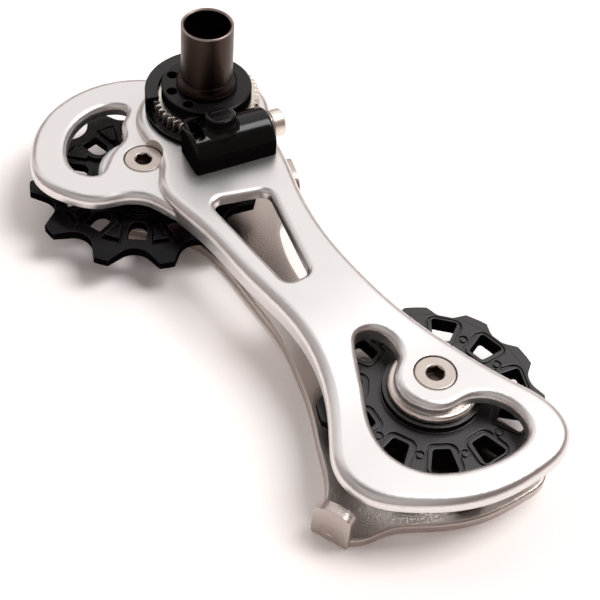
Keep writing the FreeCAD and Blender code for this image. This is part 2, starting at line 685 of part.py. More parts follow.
def make_bearing_outer_ring():
    """Outer ring of the tension bearing, with steps for the two shields."""
    half = BEARING_WIDTH / 2
    body = ring(BEARING_R, BEARING_R - RING_WALL, MID_Z - half, MID_Z + half, TENSION_X, TENSION_Y)
    steps = [rod(BEARING_R - RING_WALL + SHIELD_STEP, low, low + SHIELD_THICKNESS,
                 TENSION_X, TENSION_Y)
             for low in (MID_Z - half, MID_Z + half - SHIELD_THICKNESS)]
    return body.cut([race_groove()] + steps)


def make_bearing_shield(side):
    """Thin shield in the outer ring's step, just clear of the inner ring."""
    outside = MID_Z + side * BEARING_WIDTH / 2
    low = min(outside, outside - side * SHIELD_THICKNESS)
    return ring(BEARING_R - RING_WALL + SHIELD_STEP, BOLT_SHANK_R + SLIP + RING_WALL + END_PLAY,
                low, low + SHIELD_THICKNESS, TENSION_X, TENSION_Y)


def make_bearing_balls():
    """Ring of bearing balls."""
    ball = Part.makeSphere(BALL_R, V(TENSION_X + BALL_CIRCLE_R, TENSION_Y, MID_Z))
    return Part.makeCompound(round_copies(ball, BALL_COUNT, TENSION_X, TENSION_Y))


def make_bearing_retainer():
    """Retainer that spaces the balls."""
    half = RETAINER_WIDTH / 2
    body = ring(BALL_CIRCLE_R + RETAINER_THICKNESS / 2, BALL_CIRCLE_R - RETAINER_THICKNESS / 2,
                MID_Z - half, MID_Z + half, TENSION_X, TENSION_Y)
    pocket = Part.makeCylinder(BALL_R + BALL_PLAY, BALL_CIRCLE_R,
                               V(TENSION_X + BALL_CIRCLE_R / 2, TENSION_Y, MID_Z), V(1, 0, 0))
    return body.cut(round_copies(pocket, BALL_COUNT, TENSION_X, TENSION_Y))


def make_dust_cap(side):
    """Domed dust cap of the tension pulley; its boss spaces the bearing from the plate."""
    plate = MID_Z + side * PLATE_GAP / 2
    bearing = MID_Z + side * BEARING_WIDTH / 2
    face = plate - side * DUST_CAP_THICKNESS
    bore = BOLT_SHANK_R + SLIP
    cap = turned([(bore, plate), (DUST_CAP_R, plate), (DUST_CAP_R, face),
                  (bore + RING_WALL, face), (bore + RING_WALL, bearing), (bore, bearing)],
                 TENSION_X, TENSION_Y)

    def rim(edge):
        box = edge.BoundBox
        return box.XLength > DUST_CAP_R * 1.9 and abs(box.ZMin - plate) < 0.01

    return round_edges(cap, DUST_CAP_EDGE_R, rim)


def make_pivot_tube():
    """Hollow pivot with a flange under the plate and a groove for its snap ring."""
    flange_top = OUTER_BOTTOM + TUBE_FLANGE_THICKNESS
    low = SEAT_TOP + END_PLAY
    high = low + SNAP_RING_THICKNESS
    neck = TUBE_R - SNAP_GROOVE_DEPTH
    return turned([(TUBE_BORE_R, OUTER_BOTTOM), (TUBE_FLANGE_R, OUTER_BOTTOM),
                   (TUBE_FLANGE_R, flange_top), (TUBE_R, flange_top), (TUBE_R, low), (neck, low),
                   (neck, high), (TUBE_R, high), (TUBE_R, TUBE_HEIGHT - TUBE_MOUTH / 2),
                   (TUBE_R - TUBE_MOUTH / 2, TUBE_HEIGHT), (TUBE_BORE_R + TUBE_MOUTH, TUBE_HEIGHT),
                   (TUBE_BORE_R, TUBE_HEIGHT - TUBE_MOUTH)])


def make_snap_ring():
    """Snap ring that keeps the spring seat on the tube."""
    low = SEAT_TOP + END_PLAY
    return ring(SNAP_RING_R, TUBE_R - SNAP_GROOVE_DEPTH + SLIP, low, low + SNAP_RING_THICKNESS)


def seat_keys(margin, low, high):
    """Keys between the seat's hub and the worm wheel, or with a margin, their slots."""
    half = SEAT_KEY_WIDTH / 2 + margin
    reach = SEAT_HUB_R + SEAT_KEY_HEIGHT + margin
    key = Part.makeBox(reach - TUBE_R - 1, 2 * half, high - low, V(TUBE_R + 1, -half, low))
    return round_copies(key, SEAT_KEY_COUNT, 0, 0)


def make_spring_seat():
    """Disc that takes the spring's leg in one of its holes, keyed into the worm wheel."""
    disc = rod(SEAT_R, WHEEL_TOP, SEAT_TOP)
    disc = round_edges(disc, SEAT_EDGE_R, lambda edge: edge.BoundBox.ZMin > SEAT_TOP - 0.1)
    hub = rod(SEAT_HUB_R, WHEEL_BOTTOM, WHEEL_TOP)
    seat = disc.fuse([hub] + seat_keys(0, WHEEL_BOTTOM, WHEEL_TOP))
    angles = [LEG_HOLE_FIRST + LEG_HOLE_STEP * i for i in range(LEG_HOLE_COUNT)]
    holes = [rod(LEG_HOLE_R, WHEEL_TOP, SEAT_TOP, *polar(0, 0, LEG_HOLE_CIRCLE_R, angle))
             for angle in angles]
    return seat.cut(holes + [rod(TUBE_R + RUNNING, WHEEL_BOTTOM, SEAT_TOP)])


def wheel_outline(height, turn):
    """Plan of the worm wheel's teeth at one height, turned about the axis."""
    slope = math.tan(math.radians(PRESSURE_ANGLE))
    half = WORM_PITCH / 4 - BACKLASH / 2
    sections = [(WHEEL_PITCH_R - MODULE - ROOT_RELIEF, half + (MODULE + ROOT_RELIEF) * slope),
                (WHEEL_TIP_R, half - MODULE * slope)]
    points = []
    for i in range(WHEEL_TEETH):
        middle = turn + 360.0 * (i + 0.5) / WHEEL_TEETH
        for side, order in ((-1, sections), (1, sections[::-1])):
            for radius, width in order:
                spread = side * math.degrees(width / radius)
                points.append(V(*polar(0, 0, radius, middle + spread), height))
    return Part.makePolygon(points + points[:1])


def make_worm_wheel():
    """Toothed ring under the seat, its teeth laid over to follow the worm."""
    lean = math.degrees(WORM_PITCH / (2 * math.pi * WORM_PITCH_R) / WHEEL_PITCH_R)
    low_turn = WORM_TURN - lean * (WORM_Z - WHEEL_BOTTOM)
    high_turn = WORM_TURN + lean * (WHEEL_TOP - WORM_Z)
    wheel = Part.makeLoft([wheel_outline(WHEEL_BOTTOM, low_turn),
                           wheel_outline(WHEEL_TOP, high_turn)], True, True)
    bore = rod(SEAT_HUB_R + SLIP, WHEEL_BOTTOM, WHEEL_TOP)
    return wheel.cut([bore] + seat_keys(SLIP, WHEEL_BOTTOM, WHEEL_TOP))


def worm_thread():
    """Helical thread about +Z, centred on the origin, crossing +X at height 0."""
    slope = math.tan(math.radians(PRESSURE_ANGLE))
    half = WORM_PITCH / 4 - BACKLASH / 2
    base = WORM_ROOT_R - SLIP
    start = -WORM_HALF
    wide = half + (WORM_PITCH_R - base) * slope
    narrow = half - MODULE * slope
    corners = [V(base, 0, start - wide), V(WORM_TIP_R, 0, start - narrow),
               V(WORM_TIP_R, 0, start + narrow), V(base, 0, start + wide)]
    helix = Part.makeHelix(WORM_PITCH, 2 * WORM_HALF, WORM_PITCH_R)
    helix.translate(V(0, 0, start))
    thread = Part.Wire(helix).makePipeShell([Part.makePolygon(corners + corners[:1])], True, True)
    thread.rotate(V(0, 0, 0), V(0, 0, 1), 180 * WORM_TURNS)
    return thread


def to_worm_axis(solid):
    """Carry a solid made about +Z, with +X towards the wheel, to the worm's place."""
    lengthwise(solid)
    solid.rotate(V(0, 0, 0), V(0, 1, 0), 180)
    solid.translate(V(WORM_X, 0, WORM_Z))
    solid.rotate(V(0, 0, 0), V(0, 0, 1), WORM_TURN)
    return solid


def make_worm_screw():
    """Adjusting worm: journal with a clip groove, thread, neck and socket head."""
    start = -WORM_HALF - WORM_RUN_OUT
    journal_end = -WORM_HALF - WORM_JOURNAL_LENGTH
    groove = WORM_JOURNAL_R - CLIP_GROOVE_DEPTH
    waist = BARREL_RIGHT + WORM_NECK_STAND
    head = waist + WORM_HEAD_EDGE
    end = waist + WORM_HEAD_LENGTH
    clip_low = CLIP_Y - CLIP_THICKNESS / 2 - SLIP
    clip_high = CLIP_Y + CLIP_THICKNESS / 2 + SLIP
    journal = turned([(0, journal_end), (WORM_JOURNAL_R, journal_end), (WORM_JOURNAL_R, clip_low),
                      (groove, clip_low), (groove, clip_high), (WORM_JOURNAL_R, clip_high),
                      (WORM_JOURNAL_R, start + SLIP), (0, start + SLIP)])
    slim = WORM_HEAD_R - WORM_HEAD_EDGE
    neck = turned([(0, WORM_HALF), (WORM_NECK_R, WORM_HALF), (WORM_NECK_R, waist), (slim, waist),
                   (slim, head), (WORM_HEAD_R, head), (WORM_HEAD_R, end - WORM_HEAD_EDGE),
                   (slim, end), (0, end)])
    core = rod(WORM_ROOT_R, start, WORM_HALF + WORM_RUN_OUT)
    body = core.fuse(worm_thread()).fuse([journal, neck])
    return to_worm_axis(body.cut(hexagon(WORM_SOCKET_WIDTH, end - WORM_SOCKET_DEPTH, end)))


def make_worm_clip():
    """Open spring clip in the worm's journal groove."""
    groove = WORM_JOURNAL_R - CLIP_GROOVE_DEPTH
    low = CLIP_Y - CLIP_THICKNESS / 2
    clip = ring(CLIP_R, groove + SLIP, low, low + CLIP_THICKNESS)
    mouth = Part.makeBox(CLIP_MOUTH, CLIP_R + 1, CLIP_THICKNESS, V(-CLIP_MOUTH / 2, 0, low))
    return to_worm_axis(clip.cut(mouth))


def peg_places():
    """Plan places of the housing's two locating pegs."""
    return [polar(0, 0, math.hypot(WORM_X + PEG_SHIFT_X, side * PEG_SPREAD),
                  WORM_TURN + math.degrees(math.atan2(side * PEG_SPREAD, WORM_X + PEG_SHIFT_X)))
            for side in (-1, 1)]


def barrel_block():
    """Block over the worm: flat foot, upright sides and a round top, laid along +Y."""
    side = V(BARREL_R, 0, 0)
    axis = V(BARREL_X, 0, BARREL_AXIS_Z)
    foot = V(BARREL_X, 0, 0)
    corners = [axis - side, foot - side, foot + side, axis + side]
    edges = [Part.LineSegment(a, b).toShape() for a, b in zip(corners, corners[1:])]
    edges.append(Part.Arc(axis + side, axis + V(0, 0, BARREL_R), axis - side).toShape())
    face = Part.Face(Part.Wire(edges))
    face.translate(V(0, -BARREL_LEFT, 0))
    block = face.extrude(V(0, BARREL_LEFT + BARREL_RIGHT, 0))

    def end_edge(edge):
        box = edge.BoundBox
        return box.YLength < 0.01 and box.ZMax > 0.01

    block = round_edges(block, BARREL_EDGE_R, end_edge)
    back = BARREL_X - BARREL_R
    corner = Part.makeBox(BARREL_CORNER_R, BARREL_CORNER_R, ABOVE, V(back, -BARREL_LEFT, 0))
    curve = rod(BARREL_CORNER_R, 0, ABOVE, back + BARREL_CORNER_R, BARREL_CORNER_R - BARREL_LEFT)
    return block.cut(corner.cut(curve))


def cup_sector(start, sweep, height):
    """Part of a disc of the cup's size, from one angle about the pivot over a sweep."""
    sector = Part.makeCylinder(CUP_R, height, V(0, 0, 0), V(0, 0, 1), sweep)
    sector.rotate(V(0, 0, 0), V(0, 0, 1), start - WORM_TURN)
    return sector


def make_worm_housing():
    """Moulded housing: cup round the worm wheel and block over the worm, on two pegs."""
    floor = rod(CUP_FLOOR_R, 0, CUP_FLOOR)
    rail = cup_sector(CUP_WALL_START, CUP_RAIL_SWEEP, WHEEL_BOTTOM - END_PLAY)
    rail = rail.cut(rod(CUP_R - CUP_WALL, CUP_FLOOR, CUP_HEIGHT))
    under_lip = CUP_HEIGHT - CUP_LIP
    wall = cup_sector(CUP_WALL_START, CUP_WALL_SWEEP, CUP_HEIGHT)
    wall = wall.cut([rod(CUP_R - CUP_WALL, 0, under_lip), rod(CUP_LIP_R, 0, CUP_HEIGHT)])
    block = barrel_block()
    for radius, top in ((COLLAR_R, COLLAR_TOP), (POST_R, POST_TOP)):
        post = rod(radius, WORM_Z, top, BARREL_X, POST_SHIFT)
        block = block.fuse(round_edges(post, POST_EDGE_R, lambda edge: edge.BoundBox.ZMin > top - 0.1))
    room = [rod(ROOM_R, CUP_FLOOR, WHEEL_TOP + END_PLAY),
            rod(SEAT_R + WHEEL_ROOM, CUP_FLOOR, ABOVE)]
    slot_x = CLIP_SLOT_LENGTH / 2
    slot_y = CLIP_SLOT_WIDTH / 2
    slot = prism(rounded_outline([
        (WORM_X - slot_x, CLIP_Y - slot_y, CLIP_SLOT_CORNER_R),
        (WORM_X + slot_x, CLIP_Y - slot_y, CLIP_SLOT_CORNER_R),
        (WORM_X + slot_x, CLIP_Y + slot_y, CLIP_SLOT_CORNER_R),
        (WORM_X - slot_x, CLIP_Y + slot_y, CLIP_SLOT_CORNER_R)]),
        WORM_Z - CLIP_R - SIDE_PLAY, ABOVE)
    bore = lengthwise(rod(WORM_NECK_R + RUNNING, -WORM_HALF - WORM_RUN_OUT - END_PLAY, ABOVE))
    journal = lengthwise(rod(WORM_JOURNAL_R + RUNNING,
                             -WORM_HALF - WORM_JOURNAL_LENGTH - SIDE_PLAY, 0))
    for cut in (bore, journal):
        cut.translate(V(WORM_X, 0, WORM_Z))
    housing = fuse_all([floor, rail, wall, block.cut(room)])
    housing = housing.cut([slot, bore, journal, rod(TUBE_R + SLIP, 0, CUP_HEIGHT)])
    housing.rotate(V(0, 0, 0), V(0, 0, 1), WORM_TURN)
    return housing.fuse([rod(PEG_R, -PEG_DEPTH, END_PLAY, x, y) for x, y in peg_places()])


PIECES = {
    "outer_cage_plate": make_outer_plate(),
    "inner_cage_plate": make_inner_plate(),
    "guide_pulley": make_guide_pulley(),
    "guide_pulley_bolt": make_bolt(GUIDE_X, GUIDE_Y),
    "guide_pulley_bush": make_guide_bush(),
    "guide_cap_outer": make_guide_cap(1),
    "guide_cap_inner": make_guide_cap(-1),
    "tension_pulley": make_tension_pulley(),
    "tension_pulley_bolt": make_bolt(TENSION_X, TENSION_Y),
    "bearing_inner_ring": make_bearing_inner_ring(),
    "bearing_outer_ring": make_bearing_outer_ring(),
    "bearing_balls": make_bearing_balls(),
    "bearing_retainer": make_bearing_retainer(),
    "bearing_shield_outer": make_bearing_shield(1),
    "bearing_shield_inner": make_bearing_shield(-1),
    "dust_cap_outer": make_dust_cap(1),
    "dust_cap_inner": make_dust_cap(-1),
    "pivot_tube": make_pivot_tube(),
    "seat_snap_ring": make_snap_ring(),
    "spring_seat": make_spring_seat(),
    "worm_wheel": make_worm_wheel(),
    "worm_screw": make_worm_screw(),
    "worm_clip": make_worm_clip(),
    "worm_housing": make_worm_housing(),
}

os.makedirs("parts", exist_ok=True)
for name, shape in PIECES.items():
    shape.exportStep(os.path.join("parts", name + ".step"))
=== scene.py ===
import math

import bpy
from bpy.props import FloatProperty, FloatVectorProperty, PointerProperty
from mathutils import Matrix, Vector


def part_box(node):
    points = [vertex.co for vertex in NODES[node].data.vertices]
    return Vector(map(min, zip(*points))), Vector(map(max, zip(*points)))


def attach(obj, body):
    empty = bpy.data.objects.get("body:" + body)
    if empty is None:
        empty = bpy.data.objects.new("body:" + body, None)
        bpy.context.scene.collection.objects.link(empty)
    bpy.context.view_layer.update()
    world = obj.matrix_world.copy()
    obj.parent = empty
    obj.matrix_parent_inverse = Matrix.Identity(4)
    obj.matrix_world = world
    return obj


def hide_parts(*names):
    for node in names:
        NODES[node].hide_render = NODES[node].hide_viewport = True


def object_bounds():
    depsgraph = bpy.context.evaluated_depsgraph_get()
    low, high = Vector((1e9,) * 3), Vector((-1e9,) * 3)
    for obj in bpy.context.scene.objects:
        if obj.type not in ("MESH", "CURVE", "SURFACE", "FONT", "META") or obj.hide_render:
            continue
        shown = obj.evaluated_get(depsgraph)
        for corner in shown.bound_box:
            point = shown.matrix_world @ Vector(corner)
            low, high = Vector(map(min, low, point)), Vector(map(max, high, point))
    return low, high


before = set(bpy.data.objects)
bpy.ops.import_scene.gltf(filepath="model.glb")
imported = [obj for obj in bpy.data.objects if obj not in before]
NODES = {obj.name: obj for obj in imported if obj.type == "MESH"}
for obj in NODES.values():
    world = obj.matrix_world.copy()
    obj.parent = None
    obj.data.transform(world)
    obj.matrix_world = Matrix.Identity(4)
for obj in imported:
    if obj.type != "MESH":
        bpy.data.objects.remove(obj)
CAD_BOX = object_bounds()

bl_info = {
    "name": "Rear Derailleur Cage",
    "version": (1, 0, 0),
    "blender": (4, 5, 0),
    "location": "View3D > Sidebar > Cage",
    "description": "Finishes the plates, pulleys, pivot and worm adjuster of a derailleur cage",
    "category": "Object",
}

MM = 0.001

# Plan corners of the hollow under the arm, in mm, in the order of a plane's vertices:
# by the hoop, front of the narrow end, by the worm block, back of the narrow end
HOLLOW_CORNERS = ((14.9, -20.0), (46.8, -25.8), (24.1, -3.9), (48.8, -16.1))

# Turn of the worm about the pivot, in degrees. The block's tools are shaped with x along the
# worm and y across it, and are then turned by BLOCK_TURN into the part's own directions.
WORM_TURN = -21.2
BLOCK_TURN = math.radians(90.0 + WORM_TURN)

# Barrel of the worm block, left standing where the round post is cut away
BARREL_CENTRE = (-2.75 * MM, -12.95 * MM, 1.9 * MM)
BARREL_LENGTH = 30.0 * MM
BARREL_SIDES = 160

# Place of the post, and the room round it that is cleared first
POST_PLACE = (-2.75 * MM, -13.2 * MM)
POST_ROOM = (8.3 * MM, 8.4 * MM, 9.0 * MM)
POST_ROOM_HEIGHT = 7.0 * MM
POST_SIDES = 64
POST_EDGE = 0.5 * MM

# Ring sunk into the post's top: each step's inset and drop, and the width of its sloping wall
POST_RING = ((0.45 * MM, -0.22 * MM), (0.35 * MM, 0.22 * MM))
POST_RING_WALL = 0.08 * MM

# Rim at the left and the back of the clip's slot: plan corners of the rim and of the room inside
# it, in mm, the corner radii, and the sloping plane that lets the rim fall towards the front
RIM_CORNERS = ((-9.68, -15.4), (-5.0, -15.4), (-9.68, -9.7), (-5.0, -9.7))
RIM_ROOM_CORNERS = ((-8.95, -17.0), (-3.5, -17.0), (-8.95, -10.4), (-3.5, -10.4))
RIM_RADIUS = 1.6 * MM
RIM_ROOM_RADIUS = 1.0 * MM
RIM_FALL = (0.0, -0.33, 0.944)
RIM_FALL_START = -11.3 * MM

# Flare at the tube's foot: each step's rise as a share of the height, and the spread that is left
FLARE_STEPS = ((0.15, 0.72), (0.2, 0.42), (0.3, 0.18), (0.35, 0.05), (0.0, 0.0), (-1.0, 0.0))
FLARE_SIDES = 96
FLARE_SMOOTH = math.radians(40.0)

# Modelling steps: a block's first plane, how far a cutter stands past what it cuts, segments of
# corners and fillets, smoothing, merging, and how near to a top or a middle its edges, faces and
# vertices are looked for
PLANE_START = 2 * MM
CUT_MARGIN = 1.0 * MM
CORNER_STEPS = 6
FILLET_STEPS = 4
CARVED_SMOOTH = math.radians(30.0)
MERGE_REACH = 0.0005 * MM
TOP_EDGE_REACH = 0.1 * MM
TOP_FACE_REACH = 0.01 * MM
MIDDLE_REACH = 0.001 * MM

# Sockets of a colour Mix node: its factor, its two colours and its result
MIX_FACTOR, MIX_FIRST, MIX_SECOND, MIX_RESULT = 0, 6, 7, 2

# Rounded-edge normal: its rays, and the cosine of its lean where the paler edge, rubbing wear and
# painted highlight, starts and is full
EDGE_SAMPLES = 8
WEAR_AND_HIGHLIGHT_START, WEAR_AND_HIGHLIGHT_FULL = 0.985, 0.80

# Grain: detail of its two noises, their roughness and the part of their range that is used
GRAIN_DETAIL = (("Fine", 3.0), ("Broad", 5.0))
GRAIN_ROUGHNESS = 0.6
GRAIN_LOW, GRAIN_HIGH = 0.3, 0.7
RING_WANDER = {"Distortion": 0.6, "Detail": 2.0, "Detail Scale": 2.0}

# Upward part of the normal where a wall ends and is full, and where gloss starts and is full
WALL_END, WALL_FULL = 0.55, 0.35
GLOSS_START, GLOSS_FULL = 0.3, 0.9

# Depths under a bolt's top between which its socket's wall, and then all of it, turns dark with
# painted shade
SOCKET_WALL_SHADE = (0.02 * MM, 0.06 * MM)
SOCKET_FLOOR_SHADE = (0.6 * MM, 0.7 * MM)

# Alloy: scale of the clouds, their two shades and how far the roughness strays
ALLOY_CLOUDS = 90.0
ALLOY_SHADES = (0.985, 1.01)
ALLOY_STRAY = 0.015

# Moulded plastic: scales of the fine and the broad grain, and its edges against a metal's
MOULDED_GRAIN = (4200.0, 260.0)
MOULDED_EDGE = 1.3

# Turned metal: scales of the grain, its two shades and the roughness below and above the middle
TURNED_GRAIN = (3500.0, 400.0)
TURNED_SHADES = (0.93, 1.05)
TURNED_STRAY = (-0.04, 0.05)

# Tube: scales of the grain, its bump, the roughness, and the depths under the tube's top between
# which the anodised wall gives way to the bare mouth
TUBE_GRAIN = (3200.0, 300.0)
TUBE_GRIT = 0.10
TUBE_ROUGHNESS = (0.30, 0.40)
TUBE_MOUTH = (0.28 * MM, 0.18 * MM)

# Heights of the bumps on metal and on plastic, in metres
METAL_BUMP = 0.00002
MOULDED_BUMP = 0.00003

# Axis of what turns about the pivot, and the stretch of the worm where its journal is painted dark
# as shade inside the block
PIVOT_AXIS = (0.0, 0.0)
JOURNAL_SHADE = (-5.0 * MM, -6.0 * MM)

# Floor's width and roughness, and the point that all lamps face
FLOOR_WIDTH = 6.0
FLOOR_ROUGHNESS = 0.8
LAMP_AIM = Vector((0.035, -0.015, 0.0))

# Lamps, each named as its brightness in the stage's settings: place and size in metres
LAMPS = (("soft_box", (-0.33, 0.40, 0.60), (1.0, 0.8)),
         ("key_strip", (0.28, 0.36, 0.72), (0.34, 0.50)),
         ("side_strip", (-0.52, -0.12, 0.30), (0.14, 0.6)),
         ("front_panel", (0.30, -0.52, 0.50), (0.9, 0.7)),
         ("left_panel", (-0.45, -0.42, 0.50), (0.8, 0.7)))

# Camera: place in mm, its own directions in the part's frame, and its lens and sensor in mm
CAMERA_PLACE = (155.177, -154.754, 190.419)
CAMERA_RIGHT = (0.72876037, 0.6820954, 0.06044985)
CAMERA_DOWN = (0.542238, -0.520904, -0.659275)
CAMERA_AHEAD = (-0.41820075, 0.51323217, -0.74946706)
CAMERA_LENS = 84.737
CAMERA_SENSOR = 36.0
CAMERA_CLIP = 0.01


def node_centre(node):
    """Middle of a node's box, in metres."""
    low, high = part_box(node)
    return (low + high) / 2


def colour(name, description, default):
    """Colour property with a plain default."""
    return FloatVectorProperty(name=name, description=description, subtype="COLOR",
                               size=3, min=0.0, max=1.0, default=default)


def share(name, description, default):
    """Property from 0 to 1."""
    return FloatProperty(name=name, description=description, subtype="FACTOR",
                         min=0.0, max=1.0, default=default)


def length(name, description, default):
    """Length property in metres."""
    return FloatProperty(name=name, description=description, unit="LENGTH",
                         min=0.0, default=default, precision=5)


def amount(name, description, default):
    """Plain number from 0 up."""
    return FloatProperty(name=name, description=description, min=0.0, default=default)


class CageFinishes(bpy.types.PropertyGroup):
    """Colours and finishes of the cage's materials."""

    alloy: colour("Polished alloy", "Outer plate", (0.82, 0.795, 0.785))
    alloy_roughness: share("Alloy roughness", "Outer plate", 0.36)
    satin: colour("Satin alloy", "Inner plate and dust caps", (0.58, 0.515, 0.475))
    satin_roughness: share("Satin roughness", "Inner plate", 0.30)
    # The two pulleys' nylon tones are painted shade and painted light: the guide pulley darker as
    # shade under the hoop, the tension pulley paler as light on its web.
    guide_nylon_shaded: colour("Guide nylon", "Guide pulley", (0.004, 0.0034, 0.0036))
    tension_nylon_lit: colour("Tension nylon", "Tension pulley", (0.009, 0.0073, 0.0082))
    # Paler edge tone of the black plastics: rubbing wear and a painted highlight.
    edge_wear_and_highlight: colour("Rubbed nylon", "Nylon along its rubbed edges", (0.085, 0.074, 0.078))
    steel: colour("Bolt steel", "Pulley bolts", (0.62, 0.55, 0.50))
    bearing: colour("Bearing steel", "Rings, balls, bush and caps", (0.66, 0.65, 0.64))
    nickel: colour("Nickel", "Worm and worm wheel", (0.74, 0.68, 0.62))
    tube: colour("Anodised tube", "Pivot tube's wall and what is at its foot",
                 (0.055, 0.037, 0.030))
    tube_mouth: colour("Bare tube mouth", "Machined mouth of the pivot tube", (0.36, 0.30, 0.27))
    moulding: colour("Black moulding", "Worm housing and spring seat", (0.006, 0.0055, 0.0055))
    retainer: colour("Retainer nylon", "Ball retainer", (0.50, 0.46, 0.38))
    seal: colour("Seal rubber", "Bearing shields", (0.012, 0.011, 0.011))
    # The socket tone is painted shade: in the bolt sockets, on the worm's journal and all over the
    # clip in the block's slot.
    socket: colour("Bolt socket", "Blackened bolt sockets, worm journal and clip",
                   (0.13, 0.10, 0.085))
    edge_radius: length("Edge radius", "Rounding seen along machined edges", 0.00022)


class CageForging(bpy.types.PropertyGroup):
    """Sizes of the hollow under the outer plate, round the arm window."""

    hollow_ceiling: length("Hollow ceiling", "Depth of the hollow's ceiling under the plate's top",
                           0.0021)
    hollow_corner: length("Hollow corner", "Radius of the hollow's upright corners", 0.0035)
    hollow_fillet: length("Hollow fillet", "Fillet between the hollow's wall and ceiling", 0.0008)


class CageMoulding(bpy.types.PropertyGroup):
    """Sizes of the worm housing's oval post and slot rim, and of the flare at the tube's foot."""

    barrel_radius: length("Barrel radius", "Barrel that the post stands on", 0.00513)
    post_radius: length("Post radius", "Rounded ends of the post", 0.0021)
    post_stretch: length("Post stretch", "Half of the post's straight sides", 0.001)
    post_foot: length("Post foot", "Height of the post's foot, inside the barrel's wall", 0.006)
    post_top: length("Post top", "Height of the post's top", 0.0097)
    rim_foot: length("Rim foot", "Height of the slot rim's foot, inside the barrel's wall", 0.0052)
    rim_top: length("Rim top", "Height of the slot rim at the back", 0.0077)
    flare_height: length("Flare height", "Height of the flare at the tube's foot", 0.0018)
    flare_radius: length("Flare radius", "Radius of the flare at its foot", 0.0058)
    flare_bore: length("Flare bore", "Radius inside the flare, just over the tube's", 0.00517)


class CageStage(bpy.types.PropertyGroup):
    """Colours and brightness of the floor, the room and the lamps."""

    floor: colour("Floor", "Pale table top", (0.90, 0.862, 0.846))
    floor_gain: amount("Floor gain", "How much paler the camera and bright metal see it", 1.5)
    ceiling: colour("Ceiling", "Room light straight above", (0.05, 0.042, 0.039))
    horizon: colour("Horizon", "Room light at the level of the floor", (0.22, 0.145, 0.125))
    soft_box: amount("Soft box", "Brightness of the large soft box behind", 0.95)
    key_strip: amount("Key strip", "Brightness of the strip at the right", 8.0)
    side_strip: amount("Side strip", "Brightness of the strip at the left", 0.9)
    front_panel: amount("Front panel", "Brightness of the dim panel in front", 0.40)
    left_panel: amount("Left panel", "Brightness of the dim panel at the left", 0.30)


def finishes():
    """The scene's finish settings."""
    return bpy.context.scene.cage_finishes


def opaque(tone):
    """A colour with a full alpha, as sockets take it."""
    return (*tone, 1.0)


def shade(tone, factor):
    """A colour made darker or lighter."""
    return tuple(min(1.0, part * factor) for part in tone)


def add_node(tree, kind, inputs=None, **settings):
    """A node with attributes from settings and socket values from inputs."""
    node = tree.nodes.new(kind)
    for name, value in settings.items():
        setattr(node, name, value)
    for name, value in (inputs or {}).items():
        node.inputs[name].default_value = value
    return node


def join(tree, source, out, target, into):
    """A link between two sockets, each given by name or number."""
    tree.links.new(source.outputs[out], target.inputs[into])


class Board:
    """One material's node tree, with short calls to add and join nodes.

    Its colour is the Mix node that feeds the base colour, once there is one.
    """

    def __init__(self, name):
        self.material = bpy.data.materials.new(name)
        self.material.use_nodes = True
        self.tree = self.material.node_tree
        self.tree.nodes.clear()
        self.shader = self.add("ShaderNodeBsdfPrincipled")
        self.output = self.add("ShaderNodeOutputMaterial")
        self.join(self.shader, "BSDF", self.output, "Surface")
        self.place = self.add("ShaderNodeTexCoord")
        self.colour = None

    def add(self, kind, **settings):
        """A new node with some of its settings and input values."""
        return add_node(self.tree, kind, **settings)

    def join(self, source, out, target, into):
        """A link between two of this material's sockets."""
        join(self.tree, source, out, target, into)

    def group(self, shared, **values):
        """One of the shared effect groups, with its own values."""
        node = self.add("ShaderNodeGroup")
        node.node_tree = shared
        for name, value in values.items():
            node.inputs[name.replace("_", " ").title()].default_value = value
        return node

    def set(self, **values):
        """Plain values on the shader's own sockets."""
        for name, value in values.items():
            socket = self.shader.inputs[name.replace("_", " ").title().replace("Ior", "IOR")]
            socket.default_value = opaque(value) if socket.type == "RGBA" else value

    def cover(self, piece):
        """Give one object this material all over."""
        piece.data.materials.clear()
        piece.data.materials.append(self.material)

    def dress(self, *nodes):
        """Give CAD nodes this material."""
        for node in nodes:
            self.cover(NODES[node])


def new_group(name, inputs, outputs):
    """An empty shader group with float, vector or colour sockets."""
    tree = bpy.data.node_groups.new(name, "ShaderNodeTree")
    kinds = {"value": "NodeSocketFloat", "vector": "NodeSocketVector"}
    for socket, kind in inputs:
        tree.interface.new_socket(socket, in_out="INPUT", socket_type=kinds[kind])
    for socket, kind in outputs:
        tree.interface.new_socket(socket, in_out="OUTPUT", socket_type=kinds[kind])
    return tree, tree.nodes.new("NodeGroupInput"), tree.nodes.new("NodeGroupOutput")


def soft_edge_group():
    """Rounded-edge normal, and a mask that is 1 along the edges."""
    tree, into, out = new_group("Soft Edge", [("Radius", "value")],
                                [("Normal", "vector"), ("Edge", "value")])
    bevel = add_node(tree, "ShaderNodeBevel", samples=EDGE_SAMPLES)
    true_face = add_node(tree, "ShaderNodeNewGeometry")
    dot = add_node(tree, "ShaderNodeVectorMath", operation="DOT_PRODUCT")
    ramp = add_node(tree, "ShaderNodeMapRange",
                    inputs={"From Min": WEAR_AND_HIGHLIGHT_START, "From Max": WEAR_AND_HIGHLIGHT_FULL})
    join(tree, into, "Radius", bevel, "Radius")
    join(tree, bevel, "Normal", dot, 0)
    join(tree, true_face, "Normal", dot, 1)
    join(tree, dot, "Value", ramp, "Value")
    join(tree, bevel, "Normal", out, "Normal")
    join(tree, ramp, "Result", out, "Edge")
    return tree


